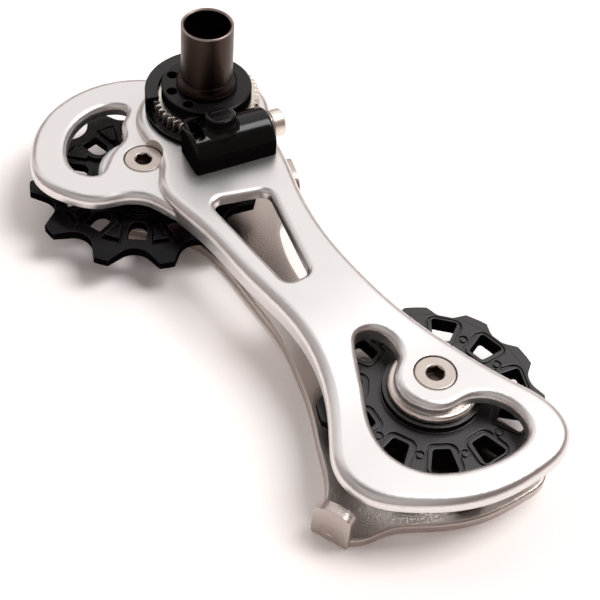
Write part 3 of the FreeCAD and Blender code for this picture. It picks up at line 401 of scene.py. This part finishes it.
def grain_group():
    """Fine grain and broad cloudiness over a surface."""
    tree, into, out = new_group(
        "Surface Grain",
        [("Vector", "vector"), ("Fine Scale", "value"), ("Broad Scale", "value")],
        [("Fine", "value"), ("Broad", "value")])
    for socket, detail in GRAIN_DETAIL:
        noise = add_node(tree, "ShaderNodeTexNoise",
                         inputs={"Detail": detail, "Roughness": GRAIN_ROUGHNESS})
        spread = add_node(tree, "ShaderNodeMapRange",
                          inputs={"From Min": GRAIN_LOW, "From Max": GRAIN_HIGH})
        join(tree, into, "Vector", noise, "Vector")
        join(tree, into, socket + " Scale", noise, "Scale")
        join(tree, noise, "Fac", spread, "Value")
        join(tree, spread, "Result", out, socket)
    return tree


def rings_group():
    """Turning marks round an upright axis: fine rings that wander a little."""
    tree, into, out = new_group("Turning Marks", [("Vector", "vector"), ("Scale", "value")],
                                [("Rings", "value")])
    wave = add_node(tree, "ShaderNodeTexWave", wave_type="RINGS", rings_direction="Z",
                    inputs=RING_WANDER)
    join(tree, into, "Vector", wave, "Vector")
    join(tree, into, "Scale", wave, "Scale")
    join(tree, wave, "Fac", out, "Rings")
    return tree


GROUPS = {}


def shared_group(name):
    """A shared effect group, built the first time it is asked for."""
    if name not in GROUPS:
        makers = {"edge": soft_edge_group, "grain": grain_group, "rings": rings_group}
        GROUPS[name] = makers[name]()
    return GROUPS[name]


def grain_on(board, fine, broad):
    """The grain group in a material, on its object coordinates."""
    grain = board.group(shared_group("grain"), fine_scale=fine, broad_scale=broad)
    board.join(board.place, "Object", grain, "Vector")
    return grain


def edge_on(board, widening=1.0):
    """The soft-edge group in a material, at the common edge radius or wider."""
    return board.group(shared_group("edge"), radius=finishes().edge_radius * widening)


def vary_roughness(board, source, out, low, high):
    """Roughness that runs between two values with a mask."""
    spread = board.add("ShaderNodeMapRange", inputs={"To Min": low, "To Max": high})
    board.join(source, out, spread, "Value")
    board.join(spread, "Result", board.shader, "Roughness")


def vary_colour(board, source, out, first, second):
    """Base colour that runs between two colours with a mask."""
    board.colour = board.add("ShaderNodeMix", data_type="RGBA")
    board.colour.inputs[MIX_FIRST].default_value = opaque(first)
    board.colour.inputs[MIX_SECOND].default_value = opaque(second)
    board.join(source, out, board.colour, MIX_FACTOR)
    board.join(board.colour, MIX_RESULT, board.shader, "Base Color")


def darken(board, source, out, tone):
    """Lay a dark tone over the base colour where a mask is 1."""
    plain = board.colour
    vary_colour(board, source, out, tone, tone)
    board.join(plain, MIX_RESULT, board.colour, MIX_FIRST)


def upward(board, kind):
    """Node whose Z is the upright part of the object's place or normal."""
    split = board.add("ShaderNodeSeparateXYZ")
    board.join(board.place, kind, split, "Vector")
    return split


def height_mask(board, start, end):
    """Mask that runs from 0 at one height to 1 at another."""
    mask = board.add("ShaderNodeMapRange", inputs={"From Min": start, "From Max": end})
    board.join(upward(board, "Object"), "Z", mask, "Value")
    return mask


def wall_mask(board):
    """Mask that is 1 on upright walls and 0 on flat faces and chamfers."""
    lean = board.add("ShaderNodeMath", operation="ABSOLUTE")
    board.join(upward(board, "Normal"), "Z", lean, 0)
    mask = board.add("ShaderNodeMapRange", inputs={"From Min": WALL_END, "From Max": WALL_FULL})
    board.join(lean, "Value", mask, "Value")
    return mask


def paint_recess_shade(board, top, tone):
    """Paint shade on the upright walls just under a height, and on everything well below it."""
    wall_start, wall_end = (top - depth for depth in SOCKET_WALL_SHADE)
    floor_start, floor_end = (top - depth for depth in SOCKET_FLOOR_SHADE)
    walls = board.add("ShaderNodeMath", operation="MULTIPLY")
    board.join(wall_mask(board), "Result", walls, 0)
    board.join(height_mask(board, wall_start, wall_end), "Result", walls, 1)
    dark = board.add("ShaderNodeMath", operation="MAXIMUM")
    board.join(walls, "Value", dark, 0)
    board.join(height_mask(board, floor_start, floor_end), "Result", dark, 1)
    darken(board, dark, "Value", tone)


def gloss_on_top(board, low, high):
    """Specular level that is low on walls and high on faces turned up."""
    level = board.add("ShaderNodeMapRange",
                      inputs={"From Min": GLOSS_START, "From Max": GLOSS_FULL,
                              "To Min": low, "To Max": high})
    board.join(upward(board, "Normal"), "Z", level, "Value")
    board.join(level, "Result", board.shader, "Specular IOR Level")


def bumped(board, source, out, strength, distance, edge):
    """Bump from a height, over the rounded-edge normal, on the shader's normal."""
    bump = board.add("ShaderNodeBump", inputs={"Strength": strength, "Distance": distance})
    board.join(source, out, bump, "Height")
    board.join(edge, "Normal", bump, "Normal")
    board.join(bump, "Normal", board.shader, "Normal")


def alloy_material(name, tone, roughness, fine, spark):
    """Bare alloy: cloudy polish and fine grain."""
    board = Board(name)
    board.set(metallic=1.0)
    grain = grain_on(board, fine, ALLOY_CLOUDS)
    vary_colour(board, grain, "Broad", *(shade(tone, factor) for factor in ALLOY_SHADES))
    vary_roughness(board, grain, "Broad", roughness - ALLOY_STRAY, roughness + ALLOY_STRAY)
    bumped(board, grain, "Fine", spark, METAL_BUMP, edge_on(board))
    return board


def black_material(name, tone, edge_wear_highlight_tone, low, high, grit):
    """Moulded plastic or rubber: fine grain, uneven gloss and edges paler from rubbing wear and a
    painted highlight.
    """
    board = Board(name)
    grain = grain_on(board, *MOULDED_GRAIN)
    edge = edge_on(board, MOULDED_EDGE)
    # Edge mask times broad grain, for the paler edges: rubbing wear and a painted highlight.
    rubbed_and_lit = board.add("ShaderNodeMath", operation="MULTIPLY")
    board.join(edge, "Edge", rubbed_and_lit, 0)
    board.join(grain, "Broad", rubbed_and_lit, 1)
    vary_colour(board, rubbed_and_lit, "Value", tone, edge_wear_highlight_tone)
    vary_roughness(board, grain, "Broad", low, high)
    bumped(board, grain, "Fine", grit, MOULDED_BUMP, edge)
    return board


def turned_material(name, tone, roughness, axis, ring_scale=900.0, ring_bump=0.25):
    """Turned metal with ring marks round its own axis."""
    board = Board(name)
    board.set(metallic=1.0)
    centred = board.add("ShaderNodeMapping",
                        inputs={"Location": (-axis[0], -axis[1], 0.0)})
    board.join(board.place, "Object", centred, "Vector")
    rings = board.group(shared_group("rings"), scale=ring_scale)
    board.join(centred, "Vector", rings, "Vector")
    grain = grain_on(board, *TURNED_GRAIN)
    vary_colour(board, grain, "Broad", *(shade(tone, factor) for factor in TURNED_SHADES))
    vary_roughness(board, grain, "Fine", *(roughness + stray for stray in TURNED_STRAY))
    bumped(board, rings, "Rings", ring_bump, METAL_BUMP, edge_on(board))
    return board


def select_alone(piece):
    """Select one object alone and make it active."""
    bpy.ops.object.select_all(action="DESELECT")
    piece.select_set(True)
    bpy.context.view_layer.objects.active = piece


def start_edit(piece):
    """Select one object alone, make it active and open it in edit mode."""
    select_alone(piece)
    bpy.ops.object.mode_set(mode="EDIT")


def end_edit():
    """Turn all faces outwards and leave edit mode."""
    bpy.ops.mesh.select_all(action="SELECT")
    bpy.ops.mesh.normals_make_consistent(inside=False)
    bpy.ops.object.mode_set(mode="OBJECT")


def keep_place():
    """Move the active object's place, turn and scale into its mesh."""
    bpy.ops.object.transform_apply(location=True, rotation=True, scale=True)


def pick(piece, kind, test):
    """Select the vertices, edges or faces of a mesh in edit mode that pass a test."""
    bpy.ops.mesh.select_mode(type=kind)
    bpy.ops.mesh.select_all(action="DESELECT")
    bpy.ops.object.mode_set(mode="OBJECT")
    parts = {"VERT": piece.data.vertices, "EDGE": piece.data.edges,
             "FACE": piece.data.polygons}[kind]
    for part in parts:
        part.select = test(part)
    bpy.ops.object.mode_set(mode="EDIT")


def round_top(piece, top, width):
    """Round the edges of a block's top, in edit mode."""
    low = top - TOP_EDGE_REACH
    points = piece.data.vertices
    pick(piece, "EDGE", lambda edge: all(points[end].co.z > low for end in edge.vertices))
    bpy.ops.mesh.bevel(offset=width, segments=FILLET_STEPS, affect="EDGES")


def rounded_block(corners, foot, top, radius):
    """Upright block on four plan corners in mm, its upright edges rounded."""
    bpy.ops.object.select_all(action="DESELECT")
    bpy.ops.mesh.primitive_plane_add(size=PLANE_START, location=(0.0, 0.0, 0.0))
    block = bpy.context.object
    start_edit(block)
    for number, (x, y) in enumerate(corners):
        pick(block, "VERT", lambda vertex: vertex.index == number)
        place = block.data.vertices[number].co
        bpy.ops.transform.translate(value=(x * MM - place.x, y * MM - place.y, foot - place.z))
    bpy.ops.mesh.select_all(action="SELECT")
    bpy.ops.mesh.bevel(offset=radius, segments=CORNER_STEPS, affect="VERTICES")
    bpy.ops.mesh.select_all(action="SELECT")
    bpy.ops.mesh.extrude_region_move(TRANSFORM_OT_translate={"value": (0.0, 0.0, top - foot)})
    end_edit()
    return block


def merged_copy(node, name):
    """Copy of a CAD node with its doubled vertices merged and its face borders kept sharp."""
    copy = bpy.data.objects.new(name, NODES[node].data.copy())
    bpy.context.scene.collection.objects.link(copy)
    start_edit(copy)
    bpy.ops.mesh.select_mode(type="EDGE")
    bpy.ops.mesh.select_all(action="DESELECT")
    bpy.ops.mesh.select_non_manifold(use_wire=False, use_multi_face=False,
                                     use_non_contiguous=False, use_verts=False)
    bpy.ops.mesh.mark_sharp()
    bpy.ops.mesh.select_all(action="SELECT")
    bpy.ops.mesh.remove_doubles(threshold=MERGE_REACH)
    bpy.ops.object.mode_set(mode="OBJECT")
    kept = copy.vertex_groups.new(name="kept")
    kept.add(range(len(copy.data.vertices)), 1.0, "REPLACE")
    return copy


def carve(piece, tool, operation):
    """Apply a Boolean with another object, and take that object away."""
    select_alone(piece)
    change = piece.modifiers.new("change", "BOOLEAN")
    change.operation = operation
    change.solver = "EXACT"
    change.object = tool
    bpy.ops.object.modifier_apply(modifier=change.name)
    bpy.data.objects.remove(tool)


def restore_normals(piece, node):
    """Smooth a carved copy, with the CAD node's own normals wherever its surface is kept."""
    uncut = merged_copy(node, "uncut")
    select_alone(piece)
    bpy.ops.object.shade_smooth_by_angle(angle=CARVED_SMOOTH)
    normals = piece.modifiers.new("normals", "DATA_TRANSFER")
    normals.object = uncut
    normals.vertex_group = "kept"
    normals.use_loop_data = True
    normals.data_types_loops = {"CUSTOM_NORMAL"}
    normals.loop_mapping = "NEAREST_POLYNOR"
    bpy.ops.object.modifier_apply(modifier=normals.name)
    bpy.data.objects.remove(uncut)


class CageOperator:
    """Common settings of the cage's operators."""

    bl_options = {"REGISTER", "UNDO"}


class CAGE_OT_plates(CageOperator, bpy.types.Operator):
    """Hollow the forged outer plate under its arm, and finish both plates"""

    bl_idname = "cage.plates"
    bl_label = "Plates"

    def execute(self, context):
        look = finishes()
        outer = alloy_material("Polished Alloy", look.alloy, look.alloy_roughness,
                               fine=2600.0, spark=0.04)
        outer.cover(self.hollowed_plate(context.scene.cage_forging))
        inner = alloy_material("Satin Alloy", look.satin, look.satin_roughness,
                               fine=2400.0, spark=1.8)
        inner.dress("inner_cage_plate")
        return {"FINISHED"}

    def hollow_cutter(self, forging):
        """Rounded four-sided block that stands under the arm, wider than the arm window."""
        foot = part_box("outer_cage_plate")[0].z - forging.hollow_ceiling
        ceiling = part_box("outer_cage_plate")[1].z - forging.hollow_ceiling
        cutter = rounded_block(HOLLOW_CORNERS, foot, ceiling, forging.hollow_corner)
        start_edit(cutter)
        round_top(cutter, ceiling, forging.hollow_fillet)
        bpy.ops.object.mode_set(mode="OBJECT")
        return cutter

    def hollowed_plate(self, forging):
        """The outer plate with a hollow underside, so that the arm window has a thin lip."""
        plate = merged_copy("outer_cage_plate", "hollowed_outer_plate")
        carve(plate, self.hollow_cutter(forging), "DIFFERENCE")
        restore_normals(plate, "outer_cage_plate")
        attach(plate, "cage")
        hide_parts("outer_cage_plate")
        return plate


class CAGE_OT_pulleys(CageOperator, bpy.types.Operator):
    """Finish the two nylon pulleys"""

    bl_idname = "cage.pulleys"
    bl_label = "Pulleys"

    def execute(self, context):
        look = finishes()
        guide = black_material("Guide Nylon", look.guide_nylon_shaded, look.edge_wear_and_highlight,
                               low=0.22, high=0.32, grit=0.10)
        gloss_on_top(guide, low=0.0, high=0.16)
        guide.dress("guide_pulley")
        tension = black_material("Tension Nylon", look.tension_nylon_lit, look.edge_wear_and_highlight,
                                 low=0.28, high=0.38, grit=0.10)
        gloss_on_top(tension, low=0.0, high=0.85)
        tension.dress("tension_pulley")
        return {"FINISHED"}


class CAGE_OT_bolts(CageOperator, bpy.types.Operator):
    """Finish the two pulley bolts with turning marks round each axis and painted shade in their
    sockets
    """

    bl_idname = "cage.bolts"
    bl_label = "Bolts"

    def execute(self, context):
        look = finishes()
        for node, name in (("guide_pulley_bolt", "Guide Bolt Steel"),
                           ("tension_pulley_bolt", "Tension Bolt Steel")):
            steel = turned_material(name, look.steel, roughness=0.34, axis=node_centre(node))
            # Painted shade: the socket's walls and floor take the dark socket tone.
            paint_recess_shade(steel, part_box(node)[1].z, look.socket)
            steel.dress(node)
        return {"FINISHED"}


class CAGE_OT_bearings(CageOperator, bpy.types.Operator):
    """Finish the bush, caps and ball bearing inside the pulleys"""

    bl_idname = "cage.bearings"
    bl_label = "Bearings"

    def execute(self, context):
        look = finishes()
        guide = turned_material("Guide Bush Steel", look.bearing, roughness=0.28,
                                axis=node_centre("guide_pulley_bush"))
        guide.dress("guide_pulley_bush", "guide_cap_outer", "guide_cap_inner")
        axis = node_centre("bearing_inner_ring")
        race = turned_material("Bearing Steel", look.bearing, roughness=0.18, axis=axis,
                               ring_scale=1400.0, ring_bump=0.10)
        race.dress("bearing_inner_ring", "bearing_outer_ring", "bearing_balls")
        caps = turned_material("Dust Cap Alloy", shade(look.satin, 1.3), roughness=0.30, axis=axis,
                               ring_scale=700.0, ring_bump=0.18)
        caps.dress("dust_cap_outer", "dust_cap_inner")
        cage = black_material("Retainer Nylon", look.retainer, look.retainer,
                              low=0.45, high=0.6, grit=0.1)
        cage.dress("bearing_retainer")
        seal = black_material("Seal Rubber", look.seal, look.edge_wear_and_highlight,
                              low=0.55, high=0.75, grit=0.3)
        seal.dress("bearing_shield_outer", "bearing_shield_inner")
        return {"FINISHED"}


class CAGE_OT_pivot(CageOperator, bpy.types.Operator):
    """Finish the pivot tube, its snap ring and the spring seat, and add the flare at its foot"""

    bl_idname = "cage.pivot"
    bl_label = "Pivot"

    def execute(self, context):
        look = finishes()
        self.tube_material(look).dress("pivot_tube")
        ring = turned_material("Snap Ring Steel", shade(look.tube, 0.3), roughness=0.34,
                               axis=PIVOT_AXIS, ring_scale=1100.0, ring_bump=0.1)
        ring.dress("seat_snap_ring")
        seat = black_material("Spring Disc Moulding", look.moulding, look.edge_wear_and_highlight,
                              low=0.30, high=0.38, grit=0.10)
        gloss_on_top(seat, low=0.0, high=0.3)
        seat.dress("spring_seat")
        flare = turned_material("Flare Anodised", shade(look.tube, 0.45), roughness=0.34,
                                axis=PIVOT_AXIS, ring_scale=1100.0, ring_bump=0.1)
        flare.cover(self.foot_flare(context.scene.cage_moulding))
        return {"FINISHED"}

    def foot_flare(self, moulding):
        """Flared ring at the tube's foot, on the snap ring."""
        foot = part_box("seat_snap_ring")[1].z
        wall = moulding.flare_bore
        radius = moulding.flare_radius
        spread = radius - wall
        bpy.ops.object.select_all(action="DESELECT")
        bpy.ops.mesh.primitive_circle_add(vertices=FLARE_SIDES, radius=radius,
                                          location=(0.0, 0.0, 0.0))
        flare = bpy.context.object
        start_edit(flare)
        bpy.ops.mesh.select_all(action="SELECT")
        bpy.ops.transform.translate(value=(0.0, 0.0, foot))
        for rise, spread_left in FLARE_STEPS:
            new_radius = wall + spread * spread_left
            bpy.ops.mesh.extrude_edges_move(
                TRANSFORM_OT_translate={"value": (0.0, 0.0, rise * moulding.flare_height)})
            bpy.ops.transform.resize(value=(new_radius / radius, new_radius / radius, 1.0))
            radius = new_radius
        bpy.ops.mesh.select_all(action="DESELECT")
        bpy.ops.mesh.select_mode(type="EDGE")
        bpy.ops.mesh.select_non_manifold()
        bpy.ops.mesh.bridge_edge_loops()
        end_edit()
        flare.name = "tube_foot_flare"
        bpy.ops.object.shade_smooth_by_angle(angle=FLARE_SMOOTH)
        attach(flare, "cage")
        return flare

    def tube_material(self, look):
        """Hard-anodised wall with fine drawing marks and a bare machined mouth."""
        board = Board("Anodised Tube")
        board.set(metallic=1.0)
        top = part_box("pivot_tube")[1].z
        mouth = height_mask(board, *(top - depth for depth in TUBE_MOUTH))
        vary_colour(board, mouth, "Result", look.tube, look.tube_mouth)
        grain = grain_on(board, *TUBE_GRAIN)
        vary_roughness(board, grain, "Broad", *TUBE_ROUGHNESS)
        bumped(board, grain, "Fine", TUBE_GRIT, METAL_BUMP, edge_on(board))
        return board


class CAGE_OT_adjuster(CageOperator, bpy.types.Operator):
    """Finish the worm, its wheel and its clip, and shape and finish the moulded housing"""

    bl_idname = "cage.adjuster"
    bl_label = "Worm adjuster"

    def execute(self, context):
        look = finishes()
        wheel = turned_material("Wheel Nickel", look.nickel, roughness=0.26, axis=PIVOT_AXIS,
                                ring_scale=800.0, ring_bump=0.12)
        wheel.dress("worm_wheel")
        # The worm's nickel is paler than the wheel's: painted light on the worm's head.
        worm = alloy_material("Worm Nickel", shade(look.nickel, 1.18), roughness=0.36,
                              fine=3000.0, spark=0.06)
        self.paint_journal_shade(worm, look)
        worm.dress("worm_screw")
        # The clip takes the socket tone all over: painted shade inside the block's slot.
        clip = turned_material("Clip Spring Steel", look.socket, roughness=0.34,
                               axis=node_centre("worm_clip"))
        clip.dress("worm_clip")
        housing = black_material("Housing Moulding", look.moulding, look.edge_wear_and_highlight,
                                 low=0.12, high=0.18, grit=0.04)
        gloss_on_top(housing, low=0.0, high=0.36)
        housing.cover(self.shaped_housing(context.scene.cage_moulding))
        return {"FINISHED"}

    def paint_journal_shade(self, worm, look):
        """Paint shade on the worm's far end, inside the block's slot."""
        start, end = JOURNAL_SHADE
        along = worm.add("ShaderNodeVectorMath", operation="DOT_PRODUCT",
                         inputs={1: (math.cos(BLOCK_TURN), math.sin(BLOCK_TURN), 0.0)})
        worm.join(worm.place, "Object", along, 0)
        mask = worm.add("ShaderNodeMapRange", inputs={"From Min": start, "From Max": end})
        worm.join(along, "Value", mask, "Value")
        darken(worm, mask, "Result", look.socket)

    def settle(self, tool):
        """Turn a tool from the worm's directions into the part's, its place kept in its mesh."""
        select_alone(tool)
        tool.rotation_euler = (0.0, 0.0, BLOCK_TURN)
        keep_place()

    def post_cutter(self, moulding):
        """Everything round the post that stands above the barrel."""
        bpy.ops.object.select_all(action="DESELECT")
        bpy.ops.mesh.primitive_cylinder_add(
            vertices=BARREL_SIDES, radius=moulding.barrel_radius, depth=BARREL_LENGTH,
            location=BARREL_CENTRE, rotation=(0.0, math.radians(90.0), 0.0))
        barrel = bpy.context.object
        keep_place()
        bpy.ops.object.select_all(action="DESELECT")
        bpy.ops.mesh.primitive_cube_add(size=1.0, location=(*POST_PLACE, POST_ROOM_HEIGHT),
                                        scale=POST_ROOM)
        cutter = bpy.context.object
        keep_place()
        carve(cutter, barrel, "DIFFERENCE")
        self.settle(cutter)
        return cutter

    def oval_post(self, moulding):
        """Oval post with a rounded rim and an oval ring sunk into its top."""
        bpy.ops.object.select_all(action="DESELECT")
        bpy.ops.mesh.primitive_circle_add(vertices=POST_SIDES, radius=moulding.post_radius,
                                          fill_type="NGON", location=(0.0, 0.0, 0.0))
        post = bpy.context.object
        start_edit(post)
        for side in (-1.0, 1.0):
            pick(post, "VERT", lambda vertex: vertex.co.x * side > MIDDLE_REACH)
            bpy.ops.transform.translate(value=(moulding.post_stretch * side, 0.0, 0.0))
        bpy.ops.mesh.select_all(action="SELECT")
        bpy.ops.transform.translate(value=(*POST_PLACE, moulding.post_foot))
        rise = moulding.post_top - moulding.post_foot
        bpy.ops.mesh.extrude_region_move(TRANSFORM_OT_translate={"value": (0.0, 0.0, rise)})
        bpy.ops.mesh.select_all(action="SELECT")
        bpy.ops.mesh.normals_make_consistent(inside=False)
        round_top(post, moulding.post_top, POST_EDGE)
        pick(post, "FACE", lambda face: face.center.z > moulding.post_top - TOP_FACE_REACH)
        for inset, step in POST_RING:
            bpy.ops.mesh.inset(thickness=inset)
            bpy.ops.mesh.inset(thickness=POST_RING_WALL)
            bpy.ops.transform.translate(value=(0.0, 0.0, step))
        bpy.ops.object.mode_set(mode="OBJECT")
        self.settle(post)
        return post

    def slot_rim(self, moulding):
        """Raised rim at the left and the back of the clip's slot, falling towards the front."""
        rim = rounded_block(RIM_CORNERS, moulding.rim_foot, moulding.rim_top, RIM_RADIUS)
        room = rounded_block(RIM_ROOM_CORNERS, moulding.rim_foot - CUT_MARGIN,
                             moulding.rim_top + CUT_MARGIN, RIM_ROOM_RADIUS)
        carve(rim, room, "DIFFERENCE")
        start_edit(rim)
        bpy.ops.mesh.select_all(action="SELECT")
        bpy.ops.mesh.bisect(plane_co=(0.0, RIM_FALL_START, moulding.rim_top), plane_no=RIM_FALL,
                            use_fill=True, clear_outer=True)
        end_edit()
        self.settle(rim)
        return rim

    def shaped_housing(self, moulding):
        """The housing with an oval post in place of the round one, and a rim round its slot."""
        piece = merged_copy("worm_housing", "shaped_worm_housing")
        carve(piece, self.post_cutter(moulding), "DIFFERENCE")
        carve(piece, self.oval_post(moulding), "UNION")
        carve(piece, self.slot_rim(moulding), "UNION")
        restore_normals(piece, "worm_housing")
        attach(piece, "cage")
        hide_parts("worm_housing")
        return piece


class CAGE_OT_stage(CageOperator, bpy.types.Operator):
    """Set the pale floor, the soft light and the camera"""

    bl_idname = "cage.stage"
    bl_label = "Stage"

    def execute(self, context):
        stage = context.scene.cage_stage
        self.floor(stage)
        self.room(context.scene, stage)
        self.lamps(context.scene, stage)
        self.camera(context.scene)
        context.scene.view_settings.view_transform = "Standard"
        return {"FINISHED"}

    def floor(self, stage):
        """Pale table top that the camera and the bright metal see as white, with its shadow."""
        bpy.ops.object.select_all(action="DESELECT")
        bpy.ops.mesh.primitive_plane_add(size=FLOOR_WIDTH, location=(0.0, 0.0, CAD_BOX[0][2]))
        floor = bpy.context.object
        floor.name = "floor"
        keep_place()
        board = Board("Pale Table")
        board.set(base_color=stage.floor, roughness=FLOOR_ROUGHNESS, specular_ior_level=0.0)
        paler = opaque(part * stage.floor_gain for part in stage.floor)
        white = board.add("ShaderNodeBsdfDiffuse", inputs={"Color": paler})
        path = board.add("ShaderNodeLightPath")
        shiny = board.add("ShaderNodeMath", operation="MAXIMUM")
        seen = board.add("ShaderNodeMath", operation="MAXIMUM")
        mix = board.add("ShaderNodeMixShader")
        board.join(path, "Is Glossy Ray", shiny, 0)
        board.join(path, "Is Transmission Ray", shiny, 1)
        board.join(path, "Is Camera Ray", seen, 0)
        board.join(shiny, "Value", seen, 1)
        board.join(seen, "Value", mix, "Fac")
        board.join(board.shader, "BSDF", mix, 1)
        board.join(white, "BSDF", mix, 2)
        board.join(mix, "Shader", board.output, "Surface")
        board.cover(floor)

    def room(self, scene, stage):
        """Room light that fades from the ceiling to the horizon, white to the camera."""
        world = bpy.data.worlds.new("Studio Room")
        world.use_nodes = True
        tree = world.node_tree
        light = tree.nodes["Background"]
        ways = add_node(tree, "ShaderNodeTexCoord")
        split = add_node(tree, "ShaderNodeSeparateXYZ")
        fade = add_node(tree, "ShaderNodeMix", data_type="RGBA")
        fade.inputs[MIX_FIRST].default_value = opaque(stage.horizon)
        fade.inputs[MIX_SECOND].default_value = opaque(stage.ceiling)
        white = add_node(tree, "ShaderNodeBackground", inputs={"Color": (1.0, 1.0, 1.0, 1.0)})
        path = add_node(tree, "ShaderNodeLightPath")
        mix = add_node(tree, "ShaderNodeMixShader")
        join(tree, ways, "Generated", split, "Vector")
        join(tree, split, "Z", fade, MIX_FACTOR)
        join(tree, fade, MIX_RESULT, light, "Color")
        join(tree, path, "Is Camera Ray", mix, "Fac")
        join(tree, light, "Background", mix, 1)
        join(tree, white, "Background", mix, 2)
        join(tree, mix, "Shader", tree.nodes["World Output"], "Surface")
        scene.world = world

    def lamps(self, scene, stage):
        """Large soft box behind, where the plates mirror it, two strips and two dim panels."""
        for name, place, (width, height) in LAMPS:
            data = bpy.data.lights.new(name, "AREA")
            data.shape = "RECTANGLE"
            data.size, data.size_y = width, height
            data.energy = getattr(stage, name) * math.pi * width * height
            lamp = bpy.data.objects.new(name, data)
            lamp.location = place
            lamp.rotation_euler = (LAMP_AIM - Vector(place)).to_track_quat("-Z", "Y").to_euler()
            scene.collection.objects.link(lamp)

    def camera(self, scene):
        """Camera at the photograph's angle."""
        data = bpy.data.cameras.new("camera")
        data.sensor_width = CAMERA_SENSOR
        data.lens = CAMERA_LENS
        data.clip_start = CAMERA_CLIP
        camera = bpy.data.objects.new("camera", data)
        turn = Matrix((Vector(CAMERA_RIGHT), -Vector(CAMERA_DOWN), -Vector(CAMERA_AHEAD)))
        place = Matrix.Translation(Vector(CAMERA_PLACE) * MM)
        camera.matrix_world = place @ turn.transposed().to_4x4()
        scene.collection.objects.link(camera)
        scene.camera = camera


OPERATORS = (CAGE_OT_plates, CAGE_OT_pulleys, CAGE_OT_bolts, CAGE_OT_bearings, CAGE_OT_pivot,
             CAGE_OT_adjuster, CAGE_OT_stage)


class CAGE_PT_panel(bpy.types.Panel):
    """Steps that finish the cage, in order, and their settings"""

    bl_idname = "CAGE_PT_panel"
    bl_label = "Derailleur cage"
    bl_space_type = "VIEW_3D"
    bl_region_type = "UI"
    bl_category = "Cage"

    def draw(self, context):
        for operator in OPERATORS:
            self.layout.operator(operator.bl_idname)
        scene = context.scene
        for settings in (scene.cage_finishes, scene.cage_forging, scene.cage_moulding,
                         scene.cage_stage):
            for name in settings.__annotations__:
                self.layout.prop(settings, name)


CLASSES = (CageFinishes, CageForging, CageMoulding, CageStage, *OPERATORS, CAGE_PT_panel)


def register():
    """Add the classes and the scene's settings."""
    for cls in CLASSES:
        bpy.utils.register_class(cls)
    bpy.types.Scene.cage_finishes = PointerProperty(type=CageFinishes)
    bpy.types.Scene.cage_forging = PointerProperty(type=CageForging)
    bpy.types.Scene.cage_moulding = PointerProperty(type=CageMoulding)
    bpy.types.Scene.cage_stage = PointerProperty(type=CageStage)


def unregister():
    """Take the settings and the classes away again."""
    del bpy.types.Scene.cage_stage
    del bpy.types.Scene.cage_moulding
    del bpy.types.Scene.cage_forging
    del bpy.types.Scene.cage_finishes
    for cls in reversed(CLASSES):
        bpy.utils.unregister_class(cls)


def main():
    """Run every step."""
    register()
    bpy.ops.cage.plates()
    bpy.ops.cage.pulleys()
    bpy.ops.cage.bolts()
    bpy.ops.cage.bearings()
    bpy.ops.cage.pivot()
    bpy.ops.cage.adjuster()
    bpy.ops.cage.stage()


if __name__ == "__main__":
    main()
